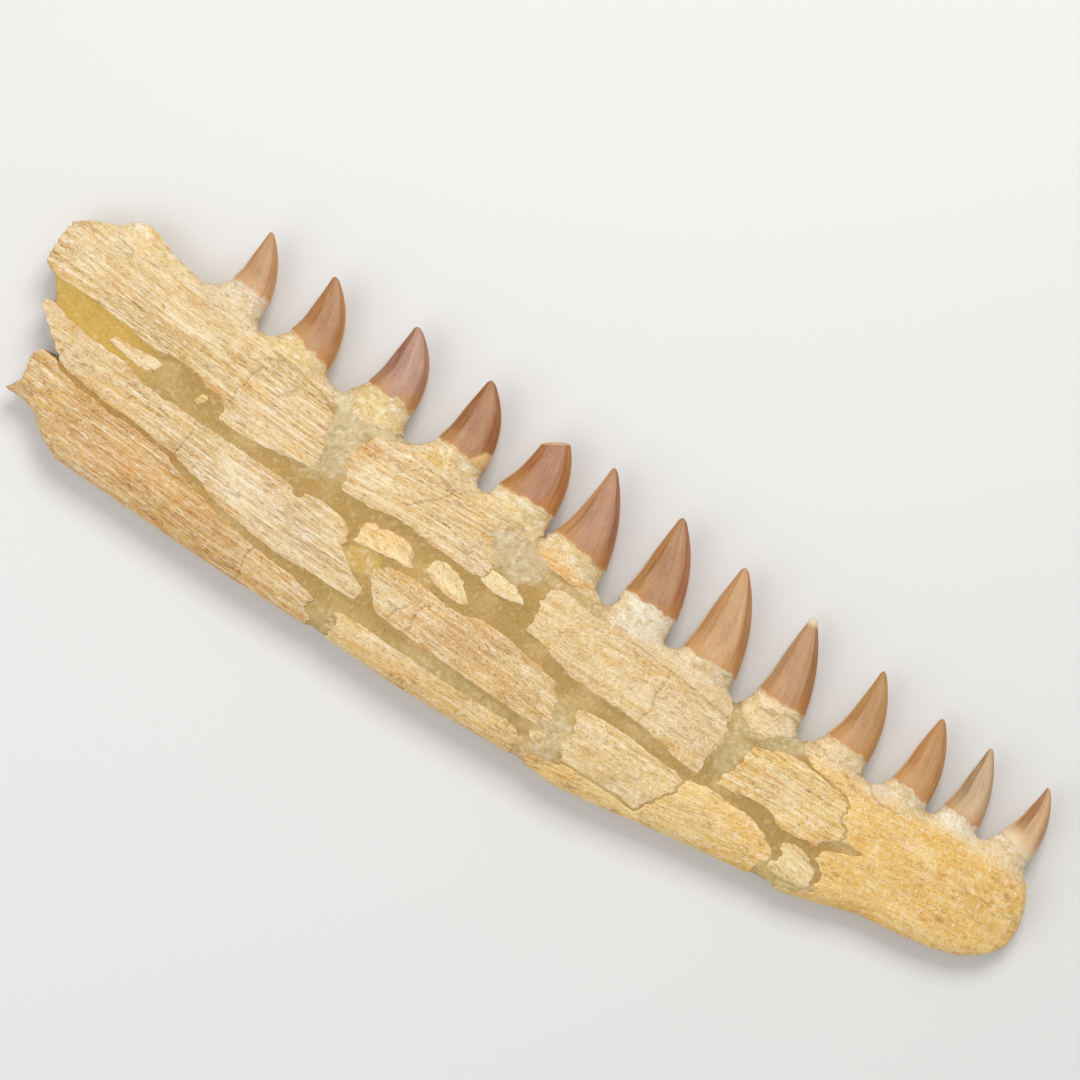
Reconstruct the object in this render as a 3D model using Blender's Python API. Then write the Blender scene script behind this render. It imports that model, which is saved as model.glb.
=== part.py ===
"""Fossil mosasaur lower jaw, lying on its side on the floor.

The jaw is drawn in millimetres in its own plan: x runs from the broken rear end to the front
tip, y from the lower edge up to the teeth, and z is the thickness, with the floor at z = 0.
The whole jaw is modelled first, as one body with thirteen teeth fused to it. It is then parted
along the real breaks into bones, and the sandy matrix fills the channels between them.
"""

import math

import bmesh
import bpy
from mathutils import Vector

MM = 0.001

# The driving sizes, in millimetres.
JAW_LENGTH = 544.5
REAR_X = -2.5
TIP_X = REAR_X + JAW_LENGTH
GAP = 0.32
MATRIX_SINK = 1.5
CHIP_FLOOR, THIN_CHIP_FLOOR, THIN_JAW = 17.0, 15.0, 25.0
TALL = (-6.0, 48.0)
OUT_TOP = 152.0
OUT_LOW = -14.0
OUT_FRONT = 556.0

# The body's edges, thickness and height along x: pairs of x and size.
LOWER_EDGE = (
    (-8, 15), (25, 14), (32, 11), (38, 5.5), (50, -1), (75, -1.4), (110, -2.5), (150, -3),
    (190, -2.2), (235, -3), (270, -2.4), (300, -0.6), (324, -2), (342, 0), (370, 5),
    (400, 9.5), (425, 13.2), (441, 13.8), (457, 18.3), (475, 24.2), (494, 26.3),
    (512, 29.5), (526, 34.2), (536, 41.5), (541, 49), (542, 53.5),
)
UPPER_EDGE = (
    (-8, 93), (-1, 96.5), (5, 100.8), (17, 105.6), (21, 109.6), (25, 112.6), (30, 113.6),
    (37, 111.5), (46, 108), (62, 105), (80, 101), (98, 99), (140, 97), (183, 93.9),
    (225, 92.4), (259, 91), (280, 85), (299, 80.6), (334, 78.8), (374, 75.6),
    (410, 77.6), (446, 77.6), (478, 79.8), (503, 82.6), (520, 82.4), (529, 80.6),
    (535, 76.5), (539, 69), (541.4, 60), (542, 55.5),
)
THICKNESS = (
    (-8, 18), (20, 22), (60, 28.6), (170, 28.8), (235, 28.4), (300, 27.4), (360, 26.4),
    (410, 25.3), (470, 23.6), (505, 21.5), (525, 17.8), (536, 12.5), (542, 4),
)
MID_HEIGHT = (
    (-8, 15.8), (20, 14.6), (60, 14), (170, 14.1), (235, 15.3), (300, 15.1), (360, 13.8),
    (410, 12.4), (470, 11.6), (510, 11.8), (542, 12.3),
)
GROOVE_LINE = ((-8, 65), (150, 54), (250, 51), (330, 41), (450, 40), (542, 50))
GROOVE_DEPTH = 1.9
GROOVE_HALF_WIDTH = 11.0
SECTION_POWER = 2.6
SECTION_POINTS = 18

# Stations along x where the body has a section: close together at the uneven rear and the tip.
REAR_STEP, BODY_STEP = 4.2, 9.5
REAR_ZONE_END, BODY_ZONE_END = 48.0, 516.0
TIP_STEPS = 7

# Low points of the bone's edge between the teeth, from the rear to the front.
NOTCHES = (
    (62, 105), (98, 99), (141, 97.2), (183, 94), (225, 92.6), (259.7, 91.3), (299, 80.8),
    (333, 79), (374, 75.8), (409, 77.8), (446.3, 77.8), (478, 80), (503, 83), (531, 80),
)
# One row a tooth: rear and front ends of the crown's base, its tip, and how far the rear and
# front edges bow out of a straight line.
TEETH = (
    ((73.5, 113), (94.3, 111), (78.5, 141.2), 0.4, 3.7),
    ((109, 108), (134, 102.5), (114.6, 140.2), 0.3, 6.2),
    ((151.5, 108), (177.6, 107), (159, 141.4), 1.2, 5.5),
    ((193.2, 104), (220, 102), (200.5, 139.2), 0.8, 6.3),
    ((229.2, 101.5), (257.6, 100.5), (238.5, 141.4), 0.6, 6.6),
    ((262.6, 97), (290.8, 93), (270.4, 136.8), 0.9, 4.7),
    ((303.5, 92), (331, 92), (309.3, 134.6), 1.0, 5.0),
    ((340.8, 85), (367.9, 84.5), (345, 131.2), 0.8, 5.6),
    ((380, 86), (404.4, 86), (384, 129.6), 0.4, 4.7),
    ((418, 86), (440.6, 86), (425.4, 125.8), -0.4, 5.3),
    ((454.5, 86), (475.4, 85), (459.5, 122), 0.9, 4.5),
    ((481.3, 88.5), (500.8, 87.5), (485.6, 122.7), -0.4, 3.5),
    ((511, 93), (529, 87), (517.5, 121.6), -1.0, 4.2),
)
BROKEN_TOOTH = 4
BREAK_POINT, BREAK_NORMAL = (240.3, 131.2), (-0.53, 0.85)
BLUNT_TOOTH = 8
BLUNT_POINT, BLUNT_NORMAL = (384.5, 128.0), (-0.1, 1.0)
CROWN_STATIONS = (0.0, 0.1, 0.24, 0.4, 0.56, 0.71, 0.84, 0.94)
CROWN_THICKNESS = (0.78, 0.66)
CROWN_TIP_RISE = 3.0
ROOT_STATIONS = (0.35, 0.7, 1.0)
ROOT_HALF_THICKNESS = 0.355
ROOT_NECK_SINK = 1.6
ROOT_SUNK = ((9.0, 0.72, 0.31), (17.0, 0.5, 0.24))
TOOTH_POINTS = 12
# How the root's rear and front edges run down to the notches: share of the way out and down
# at which each curve has its control point.
REAR_FLARE, FRONT_FLARE = (0.3, 0.6), (-0.12, 0.88)

# Breaks that two bones share, drawn once.
SPLENIAL_SEAM = (
    (31, 37), (37, 35.5), (46, 34.2), (56, 33), (65, 32.8), (72, 33), (80, 32.2), (88, 31),
    (97, 30.2),
)
SPLINTER_SEAM = ((246, 60), (247.5, 66.3))
TIP_SEAM = (
    (421, 69.6), (430, 69), (440, 67.2), (444.3, 64), (444.6, 56), (448, 55), (450, 52),
    (450.3, 48.5),
)
FRONT_SEAM = ((374.3, 33.8), (373.3, 27), (370.3, 21.5), (365.5, 15), (362, 9.2))
VENTRAL_SEAM = ((362, 9.2), (352, 10), (341, 10.2), (331, 9.6), (322.5, 9.2))

# Outlines of the bones in plan. Where a bone reaches the jaw's own edge, its outline runs on
# outside, and the body's edge is what shows.
BONES = {
    "dentary_rear": (
        (-1, OUT_TOP), (141, OUT_TOP), (141.5, 98), (144, 92), (148, 87.5), (150.5, 83),
        (151, 79), (152.5, 74), (154.5, 69), (155, 63), (154.5, 59.5), (145, 58.8),
        (138, 57.2), (128, 56), (118, 55), (110, 54.7), (105.3, 55.5), (104.8, 59),
        (102.5, 63), (99.5, 64.8), (91, 64), (90, 66), (85, 68), (70, 68.3), (66, 66.3),
        (60, 66), (52, 67.5), (45, 68.8), (25, 70), (6, 70.2), (3, 72), (-1, 74),
        (-2.5, 82), (-2, 90), (-1, 96),
    ),
    "tooth_block_3": (
        (147, OUT_TOP), (147, 101), (149, 96), (151, 92), (156, 90.5), (162, 90), (167, 91),
        (172, 92.8), (178, 94), (182, 95.2), (182.6, OUT_TOP),
    ),
    "dentary_second": (
        (183.5, OUT_TOP), (183.3, 94.5), (179, 92.4), (173, 91.2), (169, 89), (167, 84),
        (166.3, 79), (163.3, 76.3), (162.3, 73), (166, 68), (170, 64.5), (169, 61.5),
        (169.5, 58.8), (184, 59.2), (190, 60.2), (197, 61.8), (204, 62), (209, 60.8),
        (216, 60.2), (233, 59.8), (239, 58.8), *SPLINTER_SEAM, (250, 70.5), (246, 73.5),
        (243, 77), (240, 81), (242, 84.5), (250, 84), (256.5, 86.3), (257.6, 89),
        (259.5, 92), (259.5, OUT_TOP),
    ),
    "tooth_block_6": (
        (259.9, OUT_TOP), (259.9, 91.8), (258, 89), (257, 86.3), (262, 82.8), (268, 80.8),
        (276, 80.3), (284, 79), (291, 78.3), (297, 78.3), (298.3, 81), (299, OUT_TOP),
    ),
    "dentary_third": (
        (303, OUT_TOP), (303, 80), (303, 75.5), (297, 75), (290, 75.8), (283, 77),
        (275, 78.5), (274.3, 72), (275, 65), (275, 58), (275.5, 51.2), (282, 50.6),
        (287, 49.5), (292, 47.3), (298, 46), (303, 44.5), (318, 44), (330, 43.8),
        (340, 43.3), (350, 42), (358, 40.5), (365, 39), (378, 38.5), (378, 50),
        (379.5, 55), (380, 60), (378.3, 65), (377, 70), (376, 73.5), (373.8, 76),
        (373.5, OUT_TOP),
    ),
    "tooth_block_9": (
        (376.3, OUT_TOP), (376.5, 77), (378.6, 73.5), (381.4, 70.5), (386, 67.5),
        (391, 66.6), (396, 68.4), (399.5, 71.9), (404, 74.2), (407.5, 77), (408, OUT_TOP),
    ),
    "dentary_fourth": (
        (386, 39.5), (387, 43.5), (388.3, 48), (390, 50.5), (391, 56), (391.3, 61),
        (393.5, 64.3), (398, 66.3), (403, 69), (410, 70.3), (417, 70.2), *TIP_SEAM,
        (446, 46.5), (443.5, 43.5), (441.5, 40.5), (436, 39.5), (430, 38.5), (424, 38.2),
        (419.5, 39.3), (415.5, 41.7), (410.5, 42.6), (405, 42.2), (400, 40.7), (394, 39.8),
    ),
    "dentary_tip": (
        (411, OUT_TOP), (411, 78.3), (412.5, 75), (416, 72.3), *TIP_SEAM, (455, 49.4),
        (461, 48.6), (457, 46.3), (450, 44), (445, 41), (443.6, 38.5), (444.8, 35),
        (448, 33), (450, 29.5), (450.4, 25.5), (451, 22.3), (446, 19), (440, 17.5),
        (436.5, 15.5), (434, 10), (434, OUT_LOW), (OUT_FRONT, OUT_LOW),
        (OUT_FRONT, OUT_TOP),
    ),
    "splenial_rear": (
        (7.5, 58.5), (12, 60.2), (16, 59.6), (21, 58), (28, 57), (36, 56), (56, 54.5),
        (63, 53.4), (68, 51.2), (80, 50.6), (106, 50.5), (126, 50), (149, 49.2),
        (151, 47.3), (154.5, 46), (156.3, 49), (160, 50.4), (166, 51.2), (177, 49.8),
        (180.5, 48), (184.5, 45.2), (185, 42), (184, 39), (187, 36.8), (191, 34.5),
        (194, 31.5), (198, 29.3), (202, 27), (204.3, 24), (203.5, 21), (200, 19.6),
        (180, 19.4), (160, 18.5), (150, 19.3), (130, 21.7), (122, 23.4), (117, 26),
        (111, 27.8), (104, 28.7), *reversed(SPLENIAL_SEAM), (26, 41), (20, 46.3),
        (14, 50.2), (10, 54),
    ),
    "splenial_mid": (
        (201, 35.7), (203.5, 39), (208, 42), (214, 43.5), (221, 44.4), (226, 43.4),
        (232, 42.4), (240, 41.6), (248, 42.3), (253, 44.6), (262, 45), (270, 44.4),
        (277, 43), (292, 41), (300, 40), (302.5, 37.5), (304, 34), (306.5, 30),
        (308.5, 26), (309.3, 22), (309, 19.4), (303, 17.6), (285, 17), (260, 18.1),
        (236, 18.9), (224, 19.5), (215, 20.4), (210.5, 22.5), (207.5, 26), (204.5, 30.5),
    ),
    "splenial_front": (
        (314, 34.3), (316.5, 35.5), (322, 36.3), (331, 37), (341, 36.8), (362, 35.3),
        (370, 34.6), *FRONT_SEAM, *VENTRAL_SEAM[1:], (318.4, 12.5), (316.4, 16.5),
        (317.6, 20.5), (318.8, 24.5), (318, 28), (315.3, 31),
    ),
    "ventral_rear": (
        (13, OUT_LOW), (14, 15), (15.5, 18.5), (18.3, 21.5), (18.6, 25), (17.6, 29),
        (16.6, 33), (17.6, 37), (19.3, 39.2), (27, 39.2), *SPLENIAL_SEAM, (98, 27.5),
        (104, 26.2), (110, 24.3), (118, 23), (124, 21), (128, 19.6), (133, 18.9),
        (140, 17.6), (150, 16.3), (158, 15.4), (173, 14.4), (179, 13.2), (184, 12),
        (187.5, 10), (185, 7.5), (186, 5), (189.5, 3), (190.5, OUT_LOW),
    ),
    "ventral_mid": (
        (199.5, OUT_LOW), (199.3, 1), (200, 6), (196.5, 10.5), (200, 12.6), (210, 13.2),
        (233, 12.6), (258, 11.8), (275, 12.8), (289, 13.2), (296, 12.5), (299, 9.5),
        (300.4, 5), (300, OUT_LOW),
    ),
    "ventral_front": (
        *FRONT_SEAM, *VENTRAL_SEAM[1:], (315.5, 7), (309, 6), (306.5, 2),
        (306, OUT_LOW), (422, OUT_LOW), (422.5, 10), (423.5, 17), (425, 20.6),
        (427.3, 22.6), (427, 25.6), (423, 29.3), (418, 32.8), (412, 35), (404, 36.2),
        (395, 36.3), (385, 36.6), (377, 35.5),
    ),
}
# Chips of bone that float on the matrix, near the upper face only.
CHIPS = {
    "chip_rear": (
        (43.5, 59.2), (46, 62.3), (53, 61.9), (60, 62.8), (66, 63.6), (70, 62.6),
        (69, 59.3), (66, 57), (61, 56.3), (55, 57), (48, 58),
    ),
    "chip_small": ((91, 57.5), (92, 61), (95, 61.5), (95.5, 58), (93.5, 56.8)),
    "chip_third": (
        (187.4, 50), (189, 53.5), (192, 54.8), (194.5, 53.5), (198, 55.3), (205, 56.2),
        (210, 55.6), (214, 51.5), (216.5, 47.6), (214, 46.2), (207, 45.8), (200, 44.8),
        (192, 43.4), (188, 43.5),
    ),
    "chip_fourth": (
        (222, 49.5), (224, 56), (228, 57.3), (235, 56.2), (240, 53.5), (245, 48.9),
        (247.3, 46), (243, 45), (235, 45.4), (228, 47.2),
    ),
    "splinter": (
        *reversed(SPLINTER_SEAM), (249.5, 58.8), (255, 57.7), (262, 58.7),
        (268.5, 60.3), (267, 62.5), (262, 65.2), (253, 66.2),
    ),
    "chip_lower": (
        (302, 14), (305, 15.4), (310.5, 16.6), (313.2, 13.5), (312.6, 10), (308, 10.2),
        (303.4, 11),
    ),
    "chip_front": (
        (429, 33), (430.5, 34.4), (434, 34.6), (440, 34), (441.5, 32), (445.6, 30),
        (447, 27.5), (447.4, 23), (445, 21.6), (438, 21), (431, 20.6), (428, 21.6),
        (430, 24.5), (431.5, 27.5), (430.5, 30.5),
    ),
}
MATRIX_LIMIT = (
    (5.5, 72), (8.5, 67), (11.5, 63), (14, 59), (45, 46), (92, 32), (92, OUT_LOW),
    (OUT_FRONT, OUT_LOW), (OUT_FRONT, OUT_TOP), (5.5, OUT_TOP),
)

BONE_COLOUR = (0.80, 0.65, 0.39, 1.0)
MATRIX_COLOUR = (0.47, 0.34, 0.14, 1.0)


def along(curve, x):
    """The curve's size at x: straight lines between its named points."""
    for (x0, y0), (x1, y1) in zip(curve, curve[1:]):
        if x <= x1:
            share = max(0.0, (x - x0) / (x1 - x0))
            return y0 + share * (y1 - y0)
    return curve[-1][1]


def stations():
    """Where along x the body has its sections."""
    rear_count = round((REAR_ZONE_END + 6) / REAR_STEP)
    rear = [-6 + REAR_STEP * i for i in range(rear_count + 1)]
    body_count = round((BODY_ZONE_END - rear[-1]) / BODY_STEP)
    step = (BODY_ZONE_END - rear[-1]) / body_count
    body = [rear[-1] + step * i for i in range(1, body_count + 1)]
    reach = TIP_X - BODY_ZONE_END
    tip = [
        BODY_ZONE_END + reach * math.sin(0.5 * math.pi * i / TIP_STEPS)
        for i in range(1, TIP_STEPS + 1)
    ]
    return rear + body + tip


def section(x, inset):
    """A ring of points round the body at x, shrunk by inset all round, flat where it meets the floor."""
    low, high = along(LOWER_EDGE, x) + inset, along(UPPER_EDGE, x) - inset
    half_depth = max(0.5 * (high - low), 0.8)
    half_thick = max(0.5 * along(THICKNESS, x) - inset, 0.6)
    centre_y, centre_z = 0.5 * (low + high), along(MID_HEIGHT, x)
    groove_y = along(GROOVE_LINE, x)
    ring = []
    for i in range(SECTION_POINTS):
        angle = 2 * math.pi * i / SECTION_POINTS
        c, s = math.cos(angle), math.sin(angle)
        y = centre_y + half_depth * math.copysign(abs(c) ** (2 / SECTION_POWER), c)
        z = centre_z + half_thick * math.copysign(abs(s) ** (2 / SECTION_POWER), s)
        if s > 0:
            z -= GROOVE_DEPTH * math.exp(-(((y - groove_y) / GROOVE_HALF_WIDTH) ** 2)) * s
        ring.append((x, y, max(z, 0.0)))
    return ring


def loft(name, rings, tip=None):
    """A closed mesh through rings of equal count, capped at both ends, or drawn to a tip point."""
    mesh_data = bmesh.new()
    loops = [[mesh_data.verts.new(Vector(p) * MM) for p in ring] for ring in rings]
    for near, far in zip(loops, loops[1:]):
        for i in range(len(near)):
            j = (i + 1) % len(near)
            mesh_data.faces.new((near[i], near[j], far[j], far[i]))
    mesh_data.faces.new(list(reversed(loops[0])))
    if tip is None:
        mesh_data.faces.new(loops[-1])
    else:
        point = mesh_data.verts.new(Vector(tip) * MM)
        for i in range(len(loops[-1])):
            mesh_data.faces.new((loops[-1][i], loops[-1][(i + 1) % len(loops[-1])], point))
    bmesh.ops.recalc_face_normals(mesh_data, faces=mesh_data.faces)
    return object_from(name, mesh_data)


def object_from(name, mesh_data):
    """A new object that holds the mesh, which is then freed."""
    mesh = bpy.data.meshes.new(name)
    mesh_data.to_mesh(mesh)
    mesh_data.free()
    obj = bpy.data.objects.new(name, mesh)
    bpy.data.collections["jaw"].objects.link(obj)
    return obj


def bezier(start, control, end, t):
    """A point on the quadratic curve from start to end."""
    return tuple(
        (1 - t) ** 2 * a + 2 * t * (1 - t) * b + t * t * c
        for a, b, c in zip(start, control, end)
    )


def bowed_control(start, end, bow, side):
    """The control point that bows a curve from start to end out by bow, to the front or the rear."""
    dx, dy = end[0] - start[0], end[1] - start[1]
    reach = 2 * bow * side / math.hypot(dx, dy)
    return start[0] + 0.5 * dx + reach * dy, start[1] + 0.5 * dy - reach * dx


def flare_control(base, notch, flare):
    """The control point of a root's edge from the crown's base down to the notch beside it."""
    out, down = flare
    return base[0] + out * (notch[0] - base[0]), base[1] + down * (notch[1] - base[1])


def tooth_ring(rear, front, half_thick, height):
    """An oval ring whose ends in plan are the two given points."""
    centre = (0.5 * (rear[0] + front[0]), 0.5 * (rear[1] + front[1]))
    reach = (0.5 * (front[0] - rear[0]), 0.5 * (front[1] - rear[1]))
    ring = []
    for i in range(TOOTH_POINTS):
        angle = 2 * math.pi * i / TOOTH_POINTS
        c, s = math.cos(angle), math.sin(angle)
        ring.append(
            (centre[0] + c * reach[0], centre[1] + c * reach[1], height + s * half_thick)
        )
    return ring


def make_tooth(index):
    """One tooth: root sunk in the body, neck, and a crown that curves back to its tip."""
    rear, front, tip, rear_bow, front_bow = TEETH[index]
    rear_notch, front_notch = NOTCHES[index], NOTCHES[index + 1]
    rear_low = (rear_notch[0], rear_notch[1] - ROOT_NECK_SINK)
    front_low = (front_notch[0], front_notch[1] - ROOT_NECK_SINK)
    middle = 0.5 * (rear[0] + front[0])
    thickness, height = along(THICKNESS, middle), along(MID_HEIGHT, middle)
    rings = []
    for depth, width, half in reversed(ROOT_SUNK):
        centre = 0.5 * (rear_low[0] + front_low[0])
        reach = 0.5 * width * (front_low[0] - rear_low[0])
        level = 0.5 * (rear_low[1] + front_low[1]) - depth
        rings.append(
            tooth_ring((centre - reach, level), (centre + reach, level), half * thickness, height)
        )
    for share in reversed(ROOT_STATIONS):
        left = bezier(rear, flare_control(rear, rear_low, REAR_FLARE), rear_low, share)
        right = bezier(front, flare_control(front, front_low, FRONT_FLARE), front_low, share)
        rings.append(tooth_ring(left, right, ROOT_HALF_THICKNESS * thickness, height))
    rear_control = bowed_control(rear, tip, rear_bow, -1)
    front_control = bowed_control(front, tip, front_bow, 1)
    base_half = 0.5 * math.dist(rear, front) * CROWN_THICKNESS[0]
    for t in CROWN_STATIONS:
        left, right = bezier(rear, rear_control, tip, t), bezier(front, front_control, tip, t)
        ratio = CROWN_THICKNESS[0] + t * (CROWN_THICKNESS[1] - CROWN_THICKNESS[0])
        half = min(0.5 * math.dist(left, right) * ratio, base_half)
        rings.append(tooth_ring(left, right, half, height + CROWN_TIP_RISE * t * t))
    return loft(f"tooth_{index + 1}", rings, (*tip, height + CROWN_TIP_RISE))


def break_off(tooth, point, normal):
    """Cuts the tooth's tip off square to its plan along a break."""
    mesh_data = bmesh.new()
    mesh_data.from_mesh(tooth.data)
    cut = bmesh.ops.bisect_plane(
        mesh_data,
        geom=[*mesh_data.verts, *mesh_data.edges, *mesh_data.faces],
        plane_co=Vector((*point, 0)) * MM,
        plane_no=Vector((*normal, 0)),
        clear_outer=True,
    )
    rim = [g for g in cut["geom_cut"] if isinstance(g, bmesh.types.BMEdge)]
    bmesh.ops.edgeloop_fill(mesh_data, edges=rim)
    bmesh.ops.recalc_face_normals(mesh_data, faces=mesh_data.faces)
    mesh_data.to_mesh(tooth.data)
    mesh_data.free()


def offset_outline(points, distance):
    """The outline moved outwards by distance, or inwards where it is negative."""
    area = sum(a[0] * b[1] - b[0] * a[1] for a, b in zip(points, points[1:] + points[:1]))
    turn = 1.0 if area > 0 else -1.0
    moved = []
    for i, point in enumerate(points):
        before, after = Vector(points[i - 1]), Vector(points[(i + 1) % len(points)])
        here = Vector(point)
        into, out = (here - before).normalized(), (after - here).normalized()
        normal_in = Vector((into.y, -into.x)) * turn
        normal_out = Vector((out.y, -out.x)) * turn
        bisector = (normal_in + normal_out).normalized()
        stretch = 1 / max(bisector.dot(normal_in), 0.5)
        moved.append(here + bisector * (distance * stretch))
    return moved


def prism(name, outline, levels, growth):
    """A cutter: the outline grown by growth and drawn out between two levels."""
    points = offset_outline(list(outline), growth)
    mesh_data = bmesh.new()
    base = mesh_data.faces.new(
        [mesh_data.verts.new(Vector((*p, levels[0])) * MM) for p in points]
    )
    grown = bmesh.ops.extrude_face_region(mesh_data, geom=[base])
    raised = [g for g in grown["geom"] if isinstance(g, bmesh.types.BMVert)]
    bmesh.ops.translate(mesh_data, verts=raised, vec=(0, 0, (levels[1] - levels[0]) * MM))
    bmesh.ops.recalc_face_normals(mesh_data, faces=mesh_data.faces)
    return object_from(name, mesh_data)


def combine(target, operation, others):
    """Applies one exact Boolean of target with the other objects, which are then removed."""
    group = bpy.data.collections.new("cutters")
    for other in others:
        group.objects.link(other)
    modifier = target.modifiers.new("combine", "BOOLEAN")
    modifier.operation, modifier.solver = operation, "EXACT"
    modifier.operand_type, modifier.collection = "COLLECTION", group
    graph = bpy.context.evaluated_depsgraph_get()
    result = bpy.data.meshes.new_from_object(target.evaluated_get(graph))
    target.modifiers.remove(modifier)
    old, target.data = target.data, result
    bpy.data.meshes.remove(old)
    for other in others:
        bpy.data.objects.remove(other)
    bpy.data.collections.remove(group)
    keep_largest(target)


def keep_largest(obj):
    """Keeps the object's largest closed surface and drops loose scraps."""
    mesh_data = bmesh.new()
    mesh_data.from_mesh(obj.data)
    bmesh.ops.remove_doubles(mesh_data, verts=mesh_data.verts, dist=0.02 * MM)
    bmesh.ops.dissolve_degenerate(mesh_data, edges=mesh_data.edges, dist=0.02 * MM)
    left, groups = set(mesh_data.faces), []
    while left:
        group, front = set(), [left.pop()]
        while front:
            face = front.pop()
            group.add(face)
            for edge in face.edges:
                for other in edge.link_faces:
                    if other in left:
                        left.discard(other)
                        front.append(other)
        groups.append(group)
    groups.sort(key=lambda group: sum(face.calc_area() for face in group))
    spare = [face for group in groups[:-1] for face in group]
    bmesh.ops.delete(mesh_data, geom=spare, context="FACES")
    bmesh.ops.triangulate(mesh_data, faces=mesh_data.faces)
    mesh_data.to_mesh(obj.data)
    mesh_data.free()


def copy_of(source, name):
    """A separate copy of an object and its mesh, under its own name."""
    obj = bpy.data.objects.new(name, source.data.copy())
    bpy.data.collections["jaw"].objects.link(obj)
    return obj


def chip_levels(outline, margin):
    """How far down a chip reaches: less where the jaw is thinner."""
    sunk = THIN_CHIP_FLOOR if along(THICKNESS, outline[0][0]) < THIN_JAW else CHIP_FLOOR
    return sunk - margin, TALL[1]


def part_bones(whole):
    """Parts the whole jaw along its breaks. A bone goes through it, a chip lies in its upper face."""
    for name, outline in BONES.items():
        bone = copy_of(whole, name)
        combine(bone, "INTERSECT", [prism(name + "_cut", outline, TALL, -0.5 * GAP)])
    for name, outline in CHIPS.items():
        chip = copy_of(whole, name)
        levels = chip_levels(outline, 0.0)
        combine(chip, "INTERSECT", [prism(name + "_cut", outline, levels, -0.5 * GAP)])


def make_matrix():
    """The sandy filling of the channels, a little sunk below the bones."""
    matrix = loft("matrix", [section(x, MATRIX_SINK) for x in stations()[:-1]])
    combine(matrix, "INTERSECT", [prism("matrix_limit", MATRIX_LIMIT, TALL, 0.0)])
    for name, outline in BONES.items():
        combine(matrix, "DIFFERENCE", [prism(name + "_cut", outline, TALL, 0.5 * GAP)])
    for name, outline in CHIPS.items():
        levels = chip_levels(outline, GAP)
        combine(matrix, "DIFFERENCE", [prism(name + "_cut", outline, levels, 0.5 * GAP)])
    return matrix


def middle_of(objects):
    """The middle of the objects' box in plan, at floor level."""
    points = [vertex.co for obj in objects if obj.type == "MESH" for vertex in obj.data.vertices]
    spans = [(min(p[axis] for p in points), max(p[axis] for p in points)) for axis in range(2)]
    return Vector((0.5 * sum(spans[0]), 0.5 * sum(spans[1]), 0))


def material(name, colour, roughness):
    """A plain finish with the part's own colour."""
    made = bpy.data.materials.new(name)
    made.use_nodes = True
    shader = made.node_tree.nodes["Principled BSDF"]
    shader.inputs["Base Color"].default_value = colour
    shader.inputs["Roughness"].default_value = roughness
    shader.inputs["Metallic"].default_value = 0.0
    return made


def main():
    for obj in list(bpy.data.objects):
        bpy.data.objects.remove(obj)
    collection = bpy.data.collections.new("jaw")
    bpy.context.scene.collection.children.link(collection)

    matrix = make_matrix()
    whole = loft("whole", [section(x, 0.0) for x in stations()])
    teeth = [make_tooth(i) for i in range(len(TEETH))]
    break_off(teeth[BROKEN_TOOTH], BREAK_POINT, BREAK_NORMAL)
    break_off(teeth[BLUNT_TOOTH], BLUNT_POINT, BLUNT_NORMAL)
    combine(whole, "UNION", teeth)
    part_bones(whole)
    bpy.data.objects.remove(whole)

    bone_finish = material("fossil_bone", BONE_COLOUR, 0.75)
    matrix_finish = material("matrix", MATRIX_COLOUR, 0.95)
    origin = bpy.data.objects.new("jaw_origin", None)
    collection.objects.link(origin)
    origin.location = -middle_of(collection.objects)
    for obj in collection.objects:
        if obj is origin:
            continue
        obj.data.materials.clear()
        obj.data.materials.append(matrix_finish if obj is matrix else bone_finish)
        obj.data.set_sharp_from_angle(angle=math.radians(35))
        obj.parent = origin


main()
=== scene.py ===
"""Looks of the fossil mosasaur jaw: bone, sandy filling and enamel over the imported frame.

Everything is drawn in millimetres in the jaw's own plan: x from the broken rear end to the front
tip, y from the lower edge up to the teeth, z through the thickness, with the floor at z = 0.
Each fragment of bone is a field in a grid, cut by its outline, and its surface is drawn from it.
"""
import math

import bpy
import numpy as np
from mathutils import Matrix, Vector


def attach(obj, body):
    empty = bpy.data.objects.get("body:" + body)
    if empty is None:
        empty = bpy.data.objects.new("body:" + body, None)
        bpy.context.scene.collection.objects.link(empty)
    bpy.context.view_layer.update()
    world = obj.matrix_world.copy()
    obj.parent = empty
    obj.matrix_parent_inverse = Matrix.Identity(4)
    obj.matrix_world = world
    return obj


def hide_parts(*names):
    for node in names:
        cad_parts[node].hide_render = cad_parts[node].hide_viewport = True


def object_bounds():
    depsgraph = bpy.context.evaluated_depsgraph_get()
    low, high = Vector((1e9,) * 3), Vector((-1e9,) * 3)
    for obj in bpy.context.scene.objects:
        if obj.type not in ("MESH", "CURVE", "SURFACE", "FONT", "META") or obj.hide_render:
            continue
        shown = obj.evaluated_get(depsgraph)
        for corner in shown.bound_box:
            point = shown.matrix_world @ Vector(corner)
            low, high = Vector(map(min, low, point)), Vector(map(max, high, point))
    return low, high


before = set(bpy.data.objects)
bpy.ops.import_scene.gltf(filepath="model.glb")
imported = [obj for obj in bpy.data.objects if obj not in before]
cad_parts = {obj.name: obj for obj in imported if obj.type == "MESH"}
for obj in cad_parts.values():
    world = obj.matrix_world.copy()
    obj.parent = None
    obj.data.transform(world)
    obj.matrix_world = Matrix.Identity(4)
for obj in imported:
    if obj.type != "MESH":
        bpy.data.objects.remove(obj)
CAD_LOW, CAD_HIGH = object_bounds()

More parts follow.
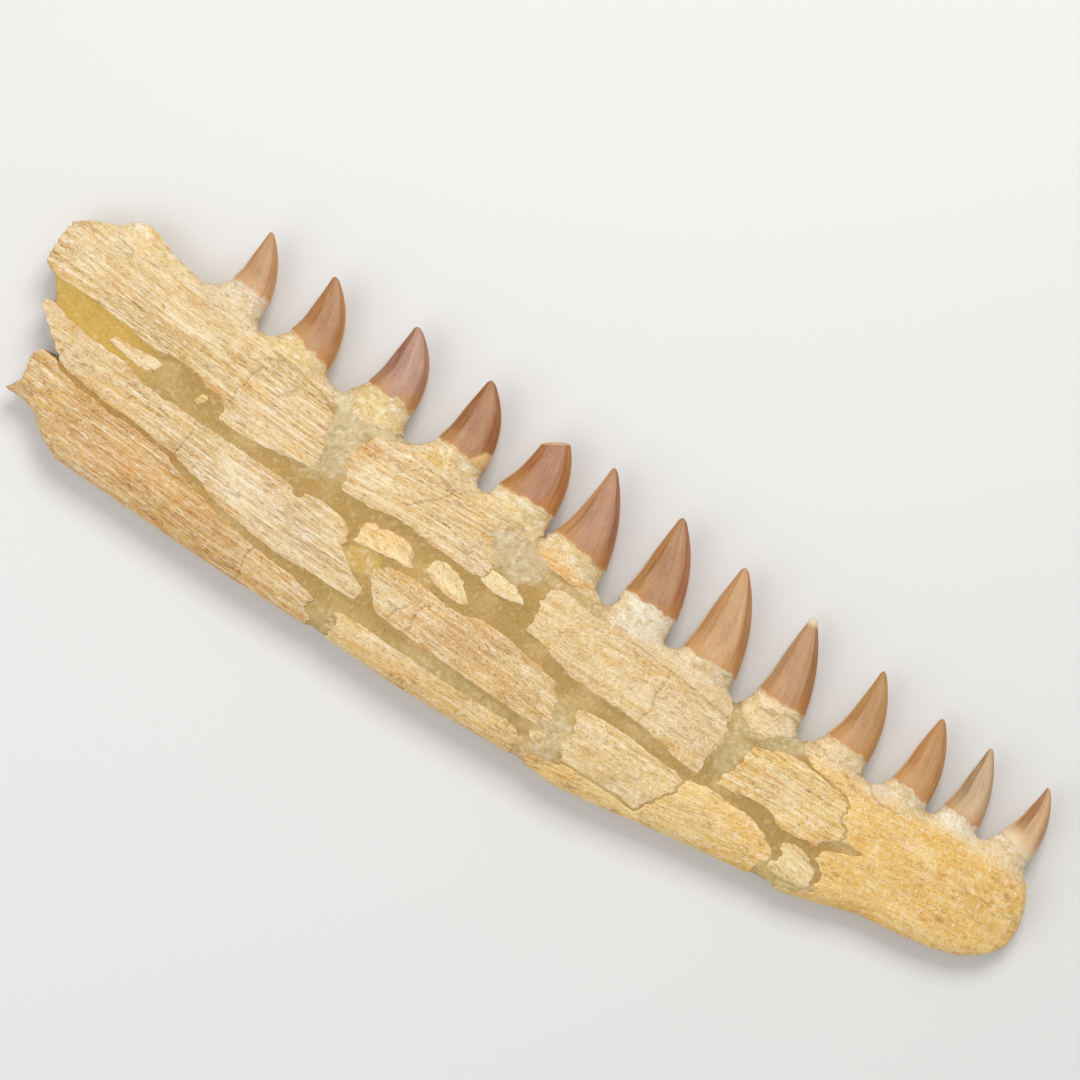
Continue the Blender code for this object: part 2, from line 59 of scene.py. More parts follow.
# The camera, in millimetres of the jaw's plan, and the lights.
VIEW_CENTRE, VIEW_LEVEL, VIEW_WIDTH = (258.6, 89.6), 15.0, 497.8
CAMERA_TURN = 33.0
LENS, SENSOR = 100.0, 36.0
KEY_POWER, FILL_POWER, WORLD_POWER = 14.8, 8.8, 0.52

# The gap between fragments, the height of the chips' undersides and how much the chips are grown.
GAP, CHIP_FLOOR, CHIP_SPREAD, FRONT_CHIP_SPREAD = 0.3, 17.0, 0.7, 1.8
REAR_X, TIP_X, TOP_Y = -2.2, 542.0, 141.4
# Places outside the jaw, where the outlines of its outer bones run on.
OUT_TOP, OUT_LOW, OUT_FRONT = 152.0, -14.0, 556.0
# The fillet where a root leaves the jaw, half the seam along the splenial, the share of the relief
# that shows on the sides of a break, and how far a break's face lies inside its outline.
ROOT_FILLET, SEAM_HALF_WIDTH, RIM_RELIEF, BREAK_DEPTH = 4.0, 0.75, 0.3, 0.1

# The body's edges, thickness and height along x: pairs of x and size.
LOWER_EDGE = (
    (-8, 15), (25, 14), (32, 11), (38, 5.5), (50, -1), (75, -1.4), (110, -2.5), (150, -3),
    (190, -2.2), (235, -3), (270, -2.4), (300, -0.6), (324, -2), (342, 0), (370, 5),
    (400, 9.5), (425, 13.2), (441, 13.8), (457, 18.3), (475, 24.2), (494, 26.3),
    (512, 29.5), (526, 34.2), (536, 41.5), (541, 49), (542, 53.5),
)
UPPER_EDGE = (
    (-8, 93), (-1, 96.5), (5, 100.8), (17, 105.6), (21, 109.6), (25, 112.6), (30, 113.6),
    (37, 111.5), (46, 108), (62, 105), (80, 101), (98, 99), (140, 97), (183, 93.9),
    (225, 92.4), (259, 91), (280, 85), (299, 80.6), (334, 78.8), (374, 75.6),
    (410, 77.6), (446, 77.6), (478, 79.8), (503, 82.6), (520, 82.4), (529, 80.6),
    (535, 76.5), (539, 69), (541.4, 60), (542, 55.5),
)
THICKNESS = (
    (-8, 18), (20, 22), (60, 28.6), (170, 28.8), (235, 28.4), (300, 27.4), (360, 26.4),
    (410, 25.3), (470, 23.6), (505, 21.5), (525, 17.8), (536, 12.5), (542, 4),
)
MID_HEIGHT = (
    (-8, 15.8), (20, 14.6), (60, 14), (170, 14.1), (235, 15.3), (300, 15.1), (360, 13.8),
    (410, 12.4), (470, 11.6), (510, 11.8), (542, 12.3),
)
GROOVE_LINE = ((-8, 65), (150, 54), (250, 51), (330, 41), (450, 40), (542, 50))
GROOVE_DEPTH = 1.9
GROOVE_HALF_WIDTH = 11.0
SECTION_POWER = 2.6

# Low points of the bone's edge between the teeth, from the rear to the front.
NOTCHES = (
    (62, 105), (98, 99), (141, 97.2), (183, 94), (225, 92.6), (259.7, 91.3), (299, 80.8),
    (333, 79), (374, 75.8), (409, 77.8), (446.3, 77.8), (478, 80), (503, 83), (531, 80),
)
# One row a tooth: rear and front ends of the crown's base, its tip, and how far the rear and
# front edges bow out of a straight line.
TEETH = (
    ((73.5, 113), (95.3, 111), (77.5, 141.2), -0.6, 3.6),
    ((109, 108), (134.5, 102.5), (113.1, 140.2), -1.0, 6.0),
    ((152, 108), (178.1, 107), (157.5, 141.4), -0.6, 6.2),
    ((193.2, 104), (220, 102), (199.5, 139.2), -0.2, 6.0),
    ((228.2, 101.5), (258.6, 100.5), (236.5, 141.4), -2.0, 6.4),
    ((261.6, 97), (292.3, 93), (268.9, 136.8), -1.6, 4.2),
    ((303.5, 92), (332, 92), (307.8, 134.6), 0.0, 4.8),
    ((340.3, 85), (369.4, 84.5), (344.5, 131.2), 0.4, 4.8),
    ((380, 86), (405.9, 86), (383.5, 129.6), 0.2, 3.6),
    ((418, 86), (441.6, 86), (423.9, 125.8), -1.6, 4.6),
    ((454.5, 86), (475.4, 85), (459, 122), 0.2, 4.2),
    ((481.3, 88.5), (501.3, 87.5), (485.1, 122.7), -0.6, 3.4),
    ((510, 93), (529, 87), (517, 121.6), -1.6, 4.4),
)
# The broken tooth and the blunt one: a point on the break, its direction and its roughness's seed.
BROKEN_TOOTH, BLUNT_TOOTH = 4, 8
BREAKS = {
    BROKEN_TOOTH: ((240.3, 131.2), (-0.53, 0.85), 801),
    BLUNT_TOOTH: ((384.5, 128.0), (-0.1, 1.0), 802),
}
CROWN_THICKNESS = (0.78, 0.66)
CROWN_TIP_RISE = 3.0
ROOT_HALF_THICKNESS = 0.355
ROOT_NECK_SINK = 1.6
# How the root's rear and front edges run down to the notches: share of the way out and down
# at which each curve has its control point.
REAR_FLARE, FRONT_FLARE = (0.3, 0.6), (-0.12, 0.88)

# Breaks that two bones share, drawn once.
SPLENIAL_SEAM = (
    (31, 37), (37, 35.5), (46, 34.2), (56, 33), (65, 32.8), (72, 33), (80, 32.2), (88, 31),
    (97, 30.2),
)
SPLINTER_SEAM = ((246, 60), (247.5, 66.3))
TIP_SEAM = (
    (421, 69.6), (430, 69), (440, 67.2), (444.3, 64), (444.6, 56), (448, 55), (450, 52),
    (450.3, 48.5),
)
FRONT_SEAM = ((374.3, 33.8), (373.3, 27), (370.3, 21.5), (365.5, 15), (362, 9.2))
VENTRAL_SEAM = ((362, 9.2), (352, 10), (341, 10.2), (331, 9.6), (322.5, 9.2))

# Outlines of the bones in plan. Where a bone reaches the jaw's own edge, its outline runs on
# outside, and the body's edge is what shows.
BONES = {
    "dentary_rear": (
        (-1, OUT_TOP), (141, OUT_TOP), (141.5, 98), (144, 92), (148, 87.5), (150.5, 83),
        (151, 79), (152.5, 74), (154.5, 69), (155, 63), (154.5, 59.5), (145, 58.8),
        (138, 57.2), (128, 56), (118, 55), (110, 54.7), (105.3, 55.5), (104.8, 59),
        (102.5, 63), (99.5, 64.8), (91, 64), (90, 66), (85, 68), (70, 68.3), (66, 66.3),
        (60, 66), (52, 67.5), (45, 68.8), (25, 70), (6, 70.2), (3, 72), (-1, 74),
        (-2.5, 82), (-2, 90), (-1, 96),
    ),
    "tooth_block_3": (
        (147, OUT_TOP), (147, 101), (149, 96), (151, 92), (156, 90.5), (162, 90), (167, 91),
        (172, 92.8), (178, 94), (182, 95.2), (182.6, OUT_TOP),
    ),
    "dentary_second": (
        (183.5, OUT_TOP), (183.3, 94.5), (179, 92.4), (173, 91.2), (169, 89), (167, 84),
        (166.3, 79), (163.3, 76.3), (162.3, 73), (166, 68), (170, 64.5), (169, 61.5),
        (169.5, 58.8), (184, 59.2), (190, 60.2), (197, 61.8), (204, 62), (209, 60.8),
        (216, 60.2), (233, 59.8), (239, 58.8), *SPLINTER_SEAM, (250, 70.5), (246, 73.5),
        (243, 77), (240, 81), (242, 84.5), (250, 84), (256.5, 86.3), (257.6, 89),
        (259.5, 92), (259.5, OUT_TOP),
    ),
    "tooth_block_6": (
        (259.9, OUT_TOP), (259.9, 91.8), (258, 89), (257, 86.3), (262, 82.8), (268, 80.8),
        (276, 80.3), (284, 79), (291, 78.3), (297, 78.3), (298.3, 81), (299, OUT_TOP),
    ),
    "dentary_third": (
        (303, OUT_TOP), (303, 80), (303, 75.5), (297, 75), (290, 75.8), (283, 77),
        (277.5, 75.6), (273.6, 71), (274.6, 65), (275, 58), (275.5, 51.2), (282, 50.6),
        (287, 49.5), (292, 47.3), (298, 46), (303, 44.5), (318, 44), (330, 43.8),
        (340, 43.3), (350, 42), (358, 40.5), (365, 39), (378, 38.5), (378, 50),
        (379.5, 55), (380, 60), (378.3, 65), (377, 70), (376, 73.5), (373.8, 76),
        (373.5, OUT_TOP),
    ),
    "tooth_block_9": (
        (376.3, OUT_TOP), (376.5, 77), (378.6, 73.5), (381.4, 70.5), (386, 67.5),
        (391, 66.6), (396, 68.4), (399.5, 71.9), (404, 74.2), (407.5, 77), (408, OUT_TOP),
    ),
    "dentary_fourth": (
        (386, 39.5), (387, 43.5), (388.3, 48), (390, 50.5), (391, 56), (391.3, 61),
        (393.5, 64.3), (398, 66.3), (403, 69), (410, 70.3), (417, 70.2), *TIP_SEAM,
        (446, 46.5), (443.5, 43.5), (441.5, 40.5), (436, 39.5), (430, 38.5), (424, 38.2),
        (419.5, 39.3), (415.5, 41.7), (410.5, 42.6), (405, 42.2), (400, 40.7), (394, 39.8),
    ),
    "dentary_tip": (
        (411, OUT_TOP), (411, 78.3), (412.5, 75), (416, 72.3), *TIP_SEAM, (455, 49.4),
        (461, 48.6), (457, 46.3), (450, 44), (445, 41), (443.6, 38.5), (444.8, 35),
        (448, 33), (450, 29.5), (450.4, 25.5), (451, 22.3), (446, 19), (440, 17.5),
        (436.5, 15.5), (434, 10), (434, OUT_LOW), (OUT_FRONT, OUT_LOW),
        (OUT_FRONT, OUT_TOP),
    ),
    "splenial_rear": (
        (7.5, 58.5), (12, 60.2), (16, 59.6), (21, 58), (28, 57), (36, 56), (56, 54.5),
        (63, 53.4), (68, 51.2), (80, 50.6), (106, 50.5), (126, 50), (149, 49.2),
        (151, 47.3), (154.5, 46), (156.3, 49), (160, 50.4), (166, 51.2), (177, 49.8),
        (180.5, 48), (184.5, 45.2), (185, 42), (184, 39), (187, 36.8), (191, 34.5),
        (194, 31.5), (198, 29.3), (202, 27), (204.3, 24), (203.5, 21), (200, 19.6),
        (180, 19.4), (160, 18.5), (150, 19.3), (130, 21.7), (122, 23.4), (117, 26),
        (111, 27.8), (104, 28.7), *reversed(SPLENIAL_SEAM), (26, 41), (20, 46.3),
        (14, 50.2), (10, 54),
    ),
    "splenial_mid": (
        (201, 35.7), (203.5, 39), (208, 42), (214, 43.5), (221, 44.4), (226, 43.4),
        (232, 42.4), (240, 41.6), (248, 42.3), (253, 44.6), (262, 45), (270, 44.4),
        (277, 43), (292, 41), (300, 40), (302.5, 37.5), (304, 34), (306.5, 30),
        (308.5, 26), (309.3, 22), (309, 19.4), (303, 17.6), (285, 17), (260, 18.1),
        (236, 18.9), (224, 19.5), (215, 20.4), (210.5, 22.5), (207.5, 26), (204.5, 30.5),
    ),
    "splenial_front": (
        (314, 34.3), (316.5, 35.5), (322, 36.3), (331, 37), (341, 36.8), (362, 35.3),
        (370, 34.6), *FRONT_SEAM, *VENTRAL_SEAM[1:], (318.4, 12.5), (316.4, 16.5),
        (317.6, 20.5), (318.8, 24.5), (318, 28), (315.3, 31),
    ),
    "ventral_rear": (
        (13, OUT_LOW), (14, 15), (15.5, 18.5), (18.3, 21.5), (18.6, 25), (17.6, 29),
        (16.6, 33), (17.6, 37), (19.3, 39.2), (27, 39.2), *SPLENIAL_SEAM, (98, 27.5),
        (104, 26.2), (110, 24.3), (118, 23), (124, 21), (128, 19.6), (133, 18.9),
        (140, 17.6), (150, 16.3), (158, 15.4), (173, 14.4), (179, 13.2), (184, 12),
        (187.5, 10), (185, 7.5), (186, 5), (189.5, 3), (190.5, OUT_LOW),
    ),
    "ventral_mid": (
        (199.5, OUT_LOW), (199.3, 1), (200, 6), (196.5, 10.5), (200, 12.6), (210, 13.2),
        (233, 12.6), (258, 11.8), (275, 12.8), (289, 13.2), (296, 12.5), (299, 9.5),
        (300.4, 5), (300, OUT_LOW),
    ),
    "ventral_front": (
        *FRONT_SEAM, *VENTRAL_SEAM[1:], (315.5, 7), (309, 6), (306.5, 2),
        (306, OUT_LOW), (422, OUT_LOW), (422.5, 10), (423.5, 17), (425, 20.6),
        (427.3, 22.6), (427, 25.6), (423, 29.3), (418, 32.8), (412, 35), (404, 36.2),
        (395, 36.3), (385, 36.6), (377, 35.5),
    ),
}
# Chips of bone that float on the matrix, near the upper face only.
CHIPS = {
    "chip_rear": (
        (43.5, 59.2), (46, 62.3), (53, 61.9), (60, 62.8), (66, 63.6), (70, 62.6),
        (69, 59.3), (66, 57), (61, 56.3), (55, 57), (48, 58),
    ),
    "chip_small": ((91, 57.5), (92, 61), (95, 61.5), (95.5, 58), (93.5, 56.8)),
    "chip_third": (
        (187.4, 50), (189, 53.5), (192, 54.8), (194.5, 53.5), (198, 55.3), (205, 56.2),
        (210, 55.6), (214, 51.5), (216.5, 47.6), (214, 46.2), (207, 45.8), (200, 44.8),
        (192, 43.4), (188, 43.5),
    ),
    "chip_fourth": (
        (222, 49.5), (224, 56), (228, 57.3), (235, 56.2), (240, 53.5), (245, 48.9),
        (247.3, 46), (243, 45), (235, 45.4), (228, 47.2),
    ),
    "splinter": (
        *reversed(SPLINTER_SEAM), (249.5, 58.8), (255, 57.7), (262, 58.7),
        (268.5, 60.3), (267, 62.5), (262, 65.2), (253, 66.2),
    ),
    "chip_lower": (
        (302, 14), (305, 15.4), (310.5, 16.6), (313.2, 13.5), (312.6, 10), (308, 10.2),
        (303.4, 11),
    ),
    "chip_front": (
        (429, 33), (430.5, 34.4), (434, 34.6), (440, 34), (441.5, 32), (445.6, 30),
        (447, 27.5), (447.4, 23), (445, 21.6), (438, 21), (431, 20.6), (428, 21.6),
        (430, 24.5), (431.5, 27.5), (430.5, 30.5),
    ),
}
MATRIX_LIMIT = (
    (5.5, 72), (8.5, 67), (11.5, 63), (14, 59), (45, 46), (92, 32), (92, OUT_LOW),
    (OUT_FRONT, OUT_LOW), (OUT_FRONT, OUT_TOP), (5.5, OUT_TOP),
)

# Hairline cracks across the bones, as polylines in plan.
CRACKS = (
    ((97.5, 50.5), (98.5, 44), (97.5, 40), (97, 31)),
    ((150, 16), (149.2, 9), (151, 3), (150.4, -3)),
    ((341.5, 72), (342.6, 66), (341.6, 58), (343, 51), (341, 43.4)),
    ((377.5, 66), (371, 68.6), (355, 70.6), (335, 72), (320, 73.4)),
    ((235, 42), (233.4, 37), (229.6, 33), (230.4, 26), (229.2, 19)),
    ((224, 31), (220.6, 27), (218.4, 21)),
    ((196.8, 68.6), (201, 72.4), (205.7, 76.5), (210, 81.6), (214, 86.4)),
    ((246.4, 61), (248, 66), (252, 70.4)),
    ((408, 86), (414, 80.5), (425, 77.6), (431, 79.5)),
    ((106.4, 90.7), (115.6, 94.3), (128.8, 93.6), (141.4, 90.3), (149, 85)),
    ((104.8, 65), (105.4, 72.6), (107.5, 77), (106.9, 82.9), (109, 87)),
    ((447.5, 78), (449.9, 75.3), (456, 73.1), (462, 73.2), (467.5, 75)),
)
# Stains: place, half sizes, tone and strength.
STAINS = (
    ((100, 16), (34, 6.5), "D9A04E", 0.55), ((62, 10), (24, 6), "DDAA5C", 0.45),
    ((35, 21), (8, 6), "E3B656", 0.6), ((60, 40), (16, 3), "E0B565", 0.5),
    ((170, 80), (7, 5), "DDA24C", 0.7), ((198, 97), (10, 5), "E8B94F", 0.75),
    ((275, 82), (13, 4), "DE9F47", 0.7), ((440, 77), (18, 6), "E6B441", 0.7),
    ((150, 8), (22, 5), "E5C48C", 0.4), ((92, 104), (9, 5), "E5BC6A", 0.5),
    ((124, 98), (12, 5), "E3B766", 0.45), ((355, 76), (18, 4), "E2BC74", 0.4),
    ((235, 66), (14, 5), "F1E0C2", 0.5), ((60, 86), (30, 8), "F1DEBB", 0.45),
    ((18, 92), (17, 12), "E6D0A6", 0.5), ((140, 36), (36, 9), "F3E6D0", 0.6),
    ((252, 30), (18, 7), "CBA364", 0.55), ((345, 57), (26, 9), "F0DDBA", 0.4),
    ((418, 55), (20, 9), "F0D9AC", 0.45), ((386, 24), (26, 6), "EBCB88", 0.5),
    ((222, 78), (18, 6), "EBD2A4", 0.4), ((520, 60), (14, 18), "E0B55E", 0.3),
    ((480, 52), (26, 12), "E8BD55", 0.35), ((500, 72), (20, 7), "E1B24C", 0.5),
    ((470, 34), (16, 6), "E5C47A", 0.4), ((215, 7), (14, 3), "EFDCB2", 0.4),
    ((458, 36), (9, 6), "E6B64A", 0.5), ((506, 46), (9, 7), "E2B24C", 0.5),
    ((478, 66), (12, 4), "F0DBA6", 0.45), ((524, 74), (8, 5), "E0A85A", 0.4),
    ((275, 7), (14, 3), "E9CE97", 0.4), ((340, 3), (14, 3), "E6C687", 0.4),
    ((213, 32), (12, 9), "EEDDB6", 0.7), ((287, 35), (20, 5), "EBD5A4", 0.6),
    ((226, 10.5), (24, 2.4), "F2E0B6", 0.6), ((237, 1.5), (6, 2.6), "D39A4C", 0.5),
    ((12, 100), (8, 4), "E7C070", 0.6), ((33, 106), (5, 8), "E9BF68", 0.5),
    ((30, 82), (12, 2.2), "E3AE58", 0.5), ((113, 76), (8, 4), "E6B658", 0.55),
    ((88, 67), (16, 2), "DFA84E", 0.6), ((144, 62), (10, 3), "E8BE68", 0.5),
)
# Marks on the roots: place, half sizes, tone and strength.
ROOT_MARKS = (
    ((318, 84), (12, 8), "E4DAC2", 0.8), ((490, 85.5), (13, 3.6), "EAE0CA", 0.85),
    ((198.6, 95), (5, 3), "DDB94C", 0.65), ((116, 99), (12, 4), "E2C873", 0.55),
    ((165, 98), (11, 3.5), "E0C778", 0.55), ((305, 85), (3.4, 6), "DCC79A", 0.7),
    ((243, 95), (12, 4), "E6D490", 0.5), ((276, 83), (13, 3), "DBA650", 0.6),
    ((84, 103), (9, 5), "E9D08A", 0.3), ((392, 78), (9, 4), "EBD3A4", 0.5),
    ((300, 83), (4, 6), "DCC69C", 0.6), ((466, 81), (14, 2), "C7B084", 0.5),
    ((245, 88), (12, 3), "CDB17A", 0.45), ((431, 82), (11, 3), "E2CBA0", 0.5),
)
# Patches of matrix with another tone, which also creep over the bones beside them: place, half
# sizes, tone and strength.
MATRIX_PATCHES = (
    ((156, 84), (9, 16), "CAB68A", 0.9), ((148, 97), (7, 7), "D8C8A2", 0.9),
    ((250, 79), (17, 12), "C8B289", 0.95), ((183, 92), (10, 5), "CDB384", 0.9),
    ((384, 72), (8, 8), "C4AB74", 0.8), ((312, 17), (8, 12), "CDB384", 0.9),
    ((196, 4), (5, 8), "BEA066", 0.9), ((303, 5), (5, 8), "D2AF74", 0.9),
    ((262, 92), (6, 8), "CDB384", 0.9), ((300, 78), (7, 6), "C9B182", 0.9),
    ((408, 75), (8, 5), "C3AF80", 0.9), ((287, 77), (14, 3), "CBAF78", 0.8),
    ((448, 16), (17, 7), "D3B878", 0.75), ((430, 20), (7, 5), "CDB06C", 0.7),
    ((150, 60), (8, 6), "BDA06A", 0.5), ((195, 38), (9, 6), "D0AA5C", 0.75),
    ((258, 14), (32, 3), "BBA06A", 0.6), ((222, 47), (8, 6), "C9A55C", 0.5),
    ((171, 91), (11, 4), "CDB88C", 0.9), ((161, 70), (8, 9), "C8B184", 0.8),
    ((384, 58), (7, 12), "C4AB76", 0.8), ((397, 71), (10, 4), "BFA775", 0.8),
)
# How each bone looks: its mean tone, how far its grain leans from the jaw's length as a slope, how
# many times shorter than at the rear its fibres are, and how much of the fibre shows.
BONE_LOOKS = {
    "dentary_rear": ("E2CC9D", 0.03, 0.7, 1.0), "tooth_block_3": ("E4C892", 0.0, 1.0, 0.4),
    "dentary_second": ("E5CD9C", -0.05, 1.2, 1.0), "tooth_block_6": ("E0BD80", 0.0, 1.0, 0.5),
    "dentary_third": ("DEC38F", 0.0, 2.0, 0.55), "tooth_block_9": ("E0C692", 0.0, 1.0, 0.4),
    "dentary_fourth": ("E8CA86", 0.0, 1.3, 0.8), "dentary_tip": ("E9C577", -0.12, 2.6, 0.5),
    "splenial_rear": ("DBC393", 0.04, 0.8, 0.85), "splenial_mid": ("DDBF87", 0.07, 1.3, 0.85),
    "splenial_front": ("E2CA97", -0.05, 1.6, 0.55), "ventral_rear": ("D8B67A", 0.05, 0.7, 1.0),
    "ventral_mid": ("E0BF7C", 0.0, 1.5, 0.6), "ventral_front": ("ECCC85", -0.16, 1.5, 0.7),
    "chip_rear": ("EEDAAE", 0.0, 1.0, 1.0), "chip_small": ("E0C27E", 0.0, 1.0, 1.0),
    "chip_third": ("EBD39C", 0.12, 1.0, 0.4), "chip_fourth": ("E8D2A0", 0.5, 1.5, 0.5),
    "splinter": ("E6CF9C", 0.0, 1.0, 0.5), "chip_lower": ("E8C98C", 0.0, 1.0, 1.0),
    "chip_front": ("E8D096", 0.25, 1.0, 0.45),
}
# Layers of tone on a bone. Each has its noise's octaves (weight, two cell sizes and seed), then
# what it blends in where it runs high and, mostly, where it runs low: factors on the mean tone,
# strength, and the values between which it grows. A patch and the tip's mottle lie in plan, and
# the others follow the grain.
BONE_LAYERS = {
    "patch": (
        ((1, 34, 15, 44),),
        ((1.02, 0.93, 0.72), 0.7, 0.0, 0.8), ((1.06, 1.02, 1.12), 0.8, 0.1, 0.8),
    ),
    "streak": (
        ((1, 34, 2.2, 41), (0.6, 13, 1.2, 42)),
        ((0.90, 0.76, 0.52), 0.5, 0.25, 1.2), ((1.10, 1.14, 1.26), 0.35, 0.2, 1.1),
    ),
    "tip_mottle": (
        ((1, 4.6, 2.4, 45), (0.6, 9, 5, 46)),
        ((0.98, 0.86, 0.55), 0.8, 0.0, 1.0), ((1.08, 1.14, 1.35), 0.7, 0.3, 1.1),
    ),
    "mottle": (
        ((1, 7, 2.6, 55), (0.7, 3.2, 1.6, 56)),
        ((0.99, 0.87, 0.58), 0.65, 0.25, 1.1), ((1.13, 1.22, 1.42), 0.6, 0.2, 1.0),
    ),
    "yellow": (((1, 26, 5, 78), (0.5, 9, 2.6, 79)), ((1.0, 0.86, 0.50), 0.5, 0.3, 1.0)),
    "pink": (((1, 30, 3.4, 80), (0.5, 10, 2.2, 81)), ((1.08, 1.10, 1.26), 0.6, 0.25, 1.0)),
    "dots": (((1, 2.4, 0.95, 76), (0.5, 5.5, 2.4, 77)), ((0.72, 0.56, 0.36), 0.6, 0.62, 1.1)),
}
PLAN_LAYERS = ("patch", "tip_mottle")
# How each tooth looks, from the rear to the front: the crown's tone, the root's tone, the darker
# bands along its rear and front edges (width as a share of the crown's, tone and strength), and
# how much paler it grows towards the root.
TOOTH_LOOKS = (
    ("B48D65", "DDCAAE", (0.14, "AE7E4C", 0.55), (0.24, "BC7C46", 0.6), 0.9),
    ("A87D57", "E0C797", (0.27, "A06A30", 0.75), (0.17, "B57634", 0.75), 0.7),
    ("AF8872", "D9BE8B", (0.22, "84503A", 0.75), (0.16, "A0664A", 0.65), 0.0),
    ("A27556", "DCC089", (0.24, "90581E", 0.85), (0.2, "945522", 0.85), 0.2),
    ("A57456", "E6CE9E", (0.22, "9E6424", 0.85), (0.2, "AC6E34", 0.85), 0.0),
    ("AC8060", "DFC593", (0.13, "C89260", 0.6), (0.19, "96563A", 0.8), 0.0),
    ("A77D5B", "EADDC0", (0.2, "B07A3C", 0.75), (0.2, "A86642", 0.8), 0.0),
    ("C0986D", "DFCBA6", (0.24, "AE7A42", 0.65), (0.2, "AC6C36", 0.75), 0.4),
    ("B38C66", "E8CFA3", (0.17, "A6805A", 0.55), (0.23, "9E6228", 0.85), 0.0),
    ("B08658", "E1CA9F", (0.24, "AA783C", 0.65), (0.19, "C68C48", 0.65), 0.6),
    ("B58757", "DFCAA8", (0.24, "B47A42", 0.6), (0.17, "BC8040", 0.65), 0.7),
    ("C0A280", "E6DBC2", (0.22, "8E6C46", 0.75), (0.15, "B48E62", 0.55), 0.3),
    ("C8A378", "E1CAA4", (0.32, "8E5C32", 0.8), (0.16, "B08050", 0.6), 0.5),
)
# Crowns with a dark crack inside the rear band, and the one with enamel chipped off its base.
CRACKED_CROWNS, CHIPPED_CROWN = (5, 6), 3
# Crowns whose enamel fades into the root over a longer share of their height than the others'.
FADING, SHORT_FADE = {0: 0.12, 8: 0.06, 12: 0.3}, 0.03
MATRIX_TONE, REAR_MATRIX_TONE = "B08D50", "C8A24A"

MESH_STEP = 0.65
GRID_LOW, GRID_HIGH, GRID_ROOM = (-6.0, -8.0), (547.0, 132.0), 2.5
# How far from the middle each step between the grid's layers holds, and the step itself, as
# shares of half the thickness.
LEVEL_STEPS = ((0.55, 0.14), (0.8, 0.085), (1.12, 0.05))
# A field's value outside a window, the most that the jaw's own field says, and a far distance.
OUTSIDE, FIELD_LIMIT, FAR = 5, 8, 99.0
NOISE_CELLS = 256
BASE_SHRINK = 0.5
# Where the underside reads its noise, so that it differs from the upper side.
UNDERSIDE_SHIFT = (611.0, 307.0)
# Seeds of the relief of the upper side and the underside, and how far on the slits' seed is.
UPPER_RELIEF, UNDER_RELIEF, SLIT_SEED = 201, 401, 3
CRACK_HALF_WIDTH, CRACK_ROOM = 0.42, 4
# How far a root's field is worked out beside its notches, below them and above the crown's base,
# and how far the root itself goes down below the notches and up into the crown.
ROOT_ROOM, ROOM_BELOW, ROOM_ABOVE = 12, 22, 9
ROOT_FOOT, ROOT_TOP = 9, 4.5
# How high above the notches the smooth bone round the roots begins and is full.
ROOT_BAND = (-8, 2)
# How far the filling lies below the jaw's surface at a bone's edge, how much further in the
# middle of a gap, and how far it reaches under the bones.
MATRIX_SUNK, MATRIX_HOLLOW, MATRIX_UNDER = 1.0, 0.55, 2.2
# How far apart the bones' and the crowns' places in their materials' textures lie, and the
# radius of a crown there.
BONE_SHIFT, CROWN_SHIFT, CROWN_GIRTH = 40.0, 30, 5.5
CROWN_RINGS, CROWN_SIDES, BASE_RINGS, TIP_RINGS = 90, 72, 4, 10
# Shares along the crown where its sunk base, its side and its tip's finer rings begin.
BASE_START, BASE_END, SIDE_START, TIP_START = -0.06, -0.035, -0.03, 0.9
ENAMEL = 0.28
# A broken tip's rim: how far in it turns, as a share of the way to the middle, and its height.
BREAK_RIM, BREAK_RISE = 0.5, 1.7
# The crown's edges run on past its tip by TIP_EXTRA and are cut short by a share, then rounded
# from TIP_ROUND on. BASE_FLARE is how far the rear edge draws in above the root.
TIP_EXTRA, TIP_CUT, TIP_ROUND, BASE_FLARE = 1.6, 0.055, 0.955, 0.6
# How far a fading crown draws in at its base, so that it meets the root flush.
FLUSH_BASE = 0.024
FLOOR_REACH = 30.0

MM = 0.001
SHIFT = (CAD_HIGH.x - TIP_X * MM, CAD_HIGH.y - TOP_Y * MM)


def tone(text):
    """Linear colour from a hexadecimal screen colour."""
    parts = np.array([int(text[i:i + 2], 16) / 255 for i in (0, 2, 4)])
    return np.where(parts <= 0.04045, parts / 12.92, ((parts + 0.055) / 1.055) ** 2.4)


def along(curve, x):
    """The curve's size at x: straight lines between its named points."""
    points = np.array(curve, float)
    return np.interp(x, points[:, 0], points[:, 1])


def smoothstep(value, low, high):
    """Rises smoothly from 0 at low to 1 at high."""
    t = np.clip((value - low) / (high - low), 0, 1)
    return t * t * (3 - 2 * t)


def noise(x, y, cell_x, cell_y, seed):
    """Smooth noise from -1 to 1, with cells of the given size in millimetres."""
    table = np.random.default_rng(seed).uniform(-1, 1, (NOISE_CELLS, NOISE_CELLS))
    gx, gy = x / cell_x, y / cell_y
    ix, iy = np.floor(gx).astype(np.int64), np.floor(gy).astype(np.int64)
    fx, fy = gx - ix, gy - iy
    fx, fy = fx * fx * (3 - 2 * fx), fy * fy * (3 - 2 * fy)
    ix, iy, jx, jy = (i % NOISE_CELLS for i in (ix, iy, ix + 1, iy + 1))
    low = table[ix, iy] * (1 - fx) + table[jx, iy] * fx
    high = table[ix, jy] * (1 - fx) + table[jx, jy] * fx
    return low * (1 - fy) + high * fy


def octaves(x, y, *rows):
    """A sum of noises: weight, two cell sizes and seed of each."""
    return sum(weight * noise(x, y, *row) for weight, *row in rows)


def smooth_union(a, b, reach):
    """Joins two fields with a fillet."""
    h = np.maximum(reach - np.abs(a - b), 0) / reach
    return np.minimum(a, b) - h * h * reach * 0.25


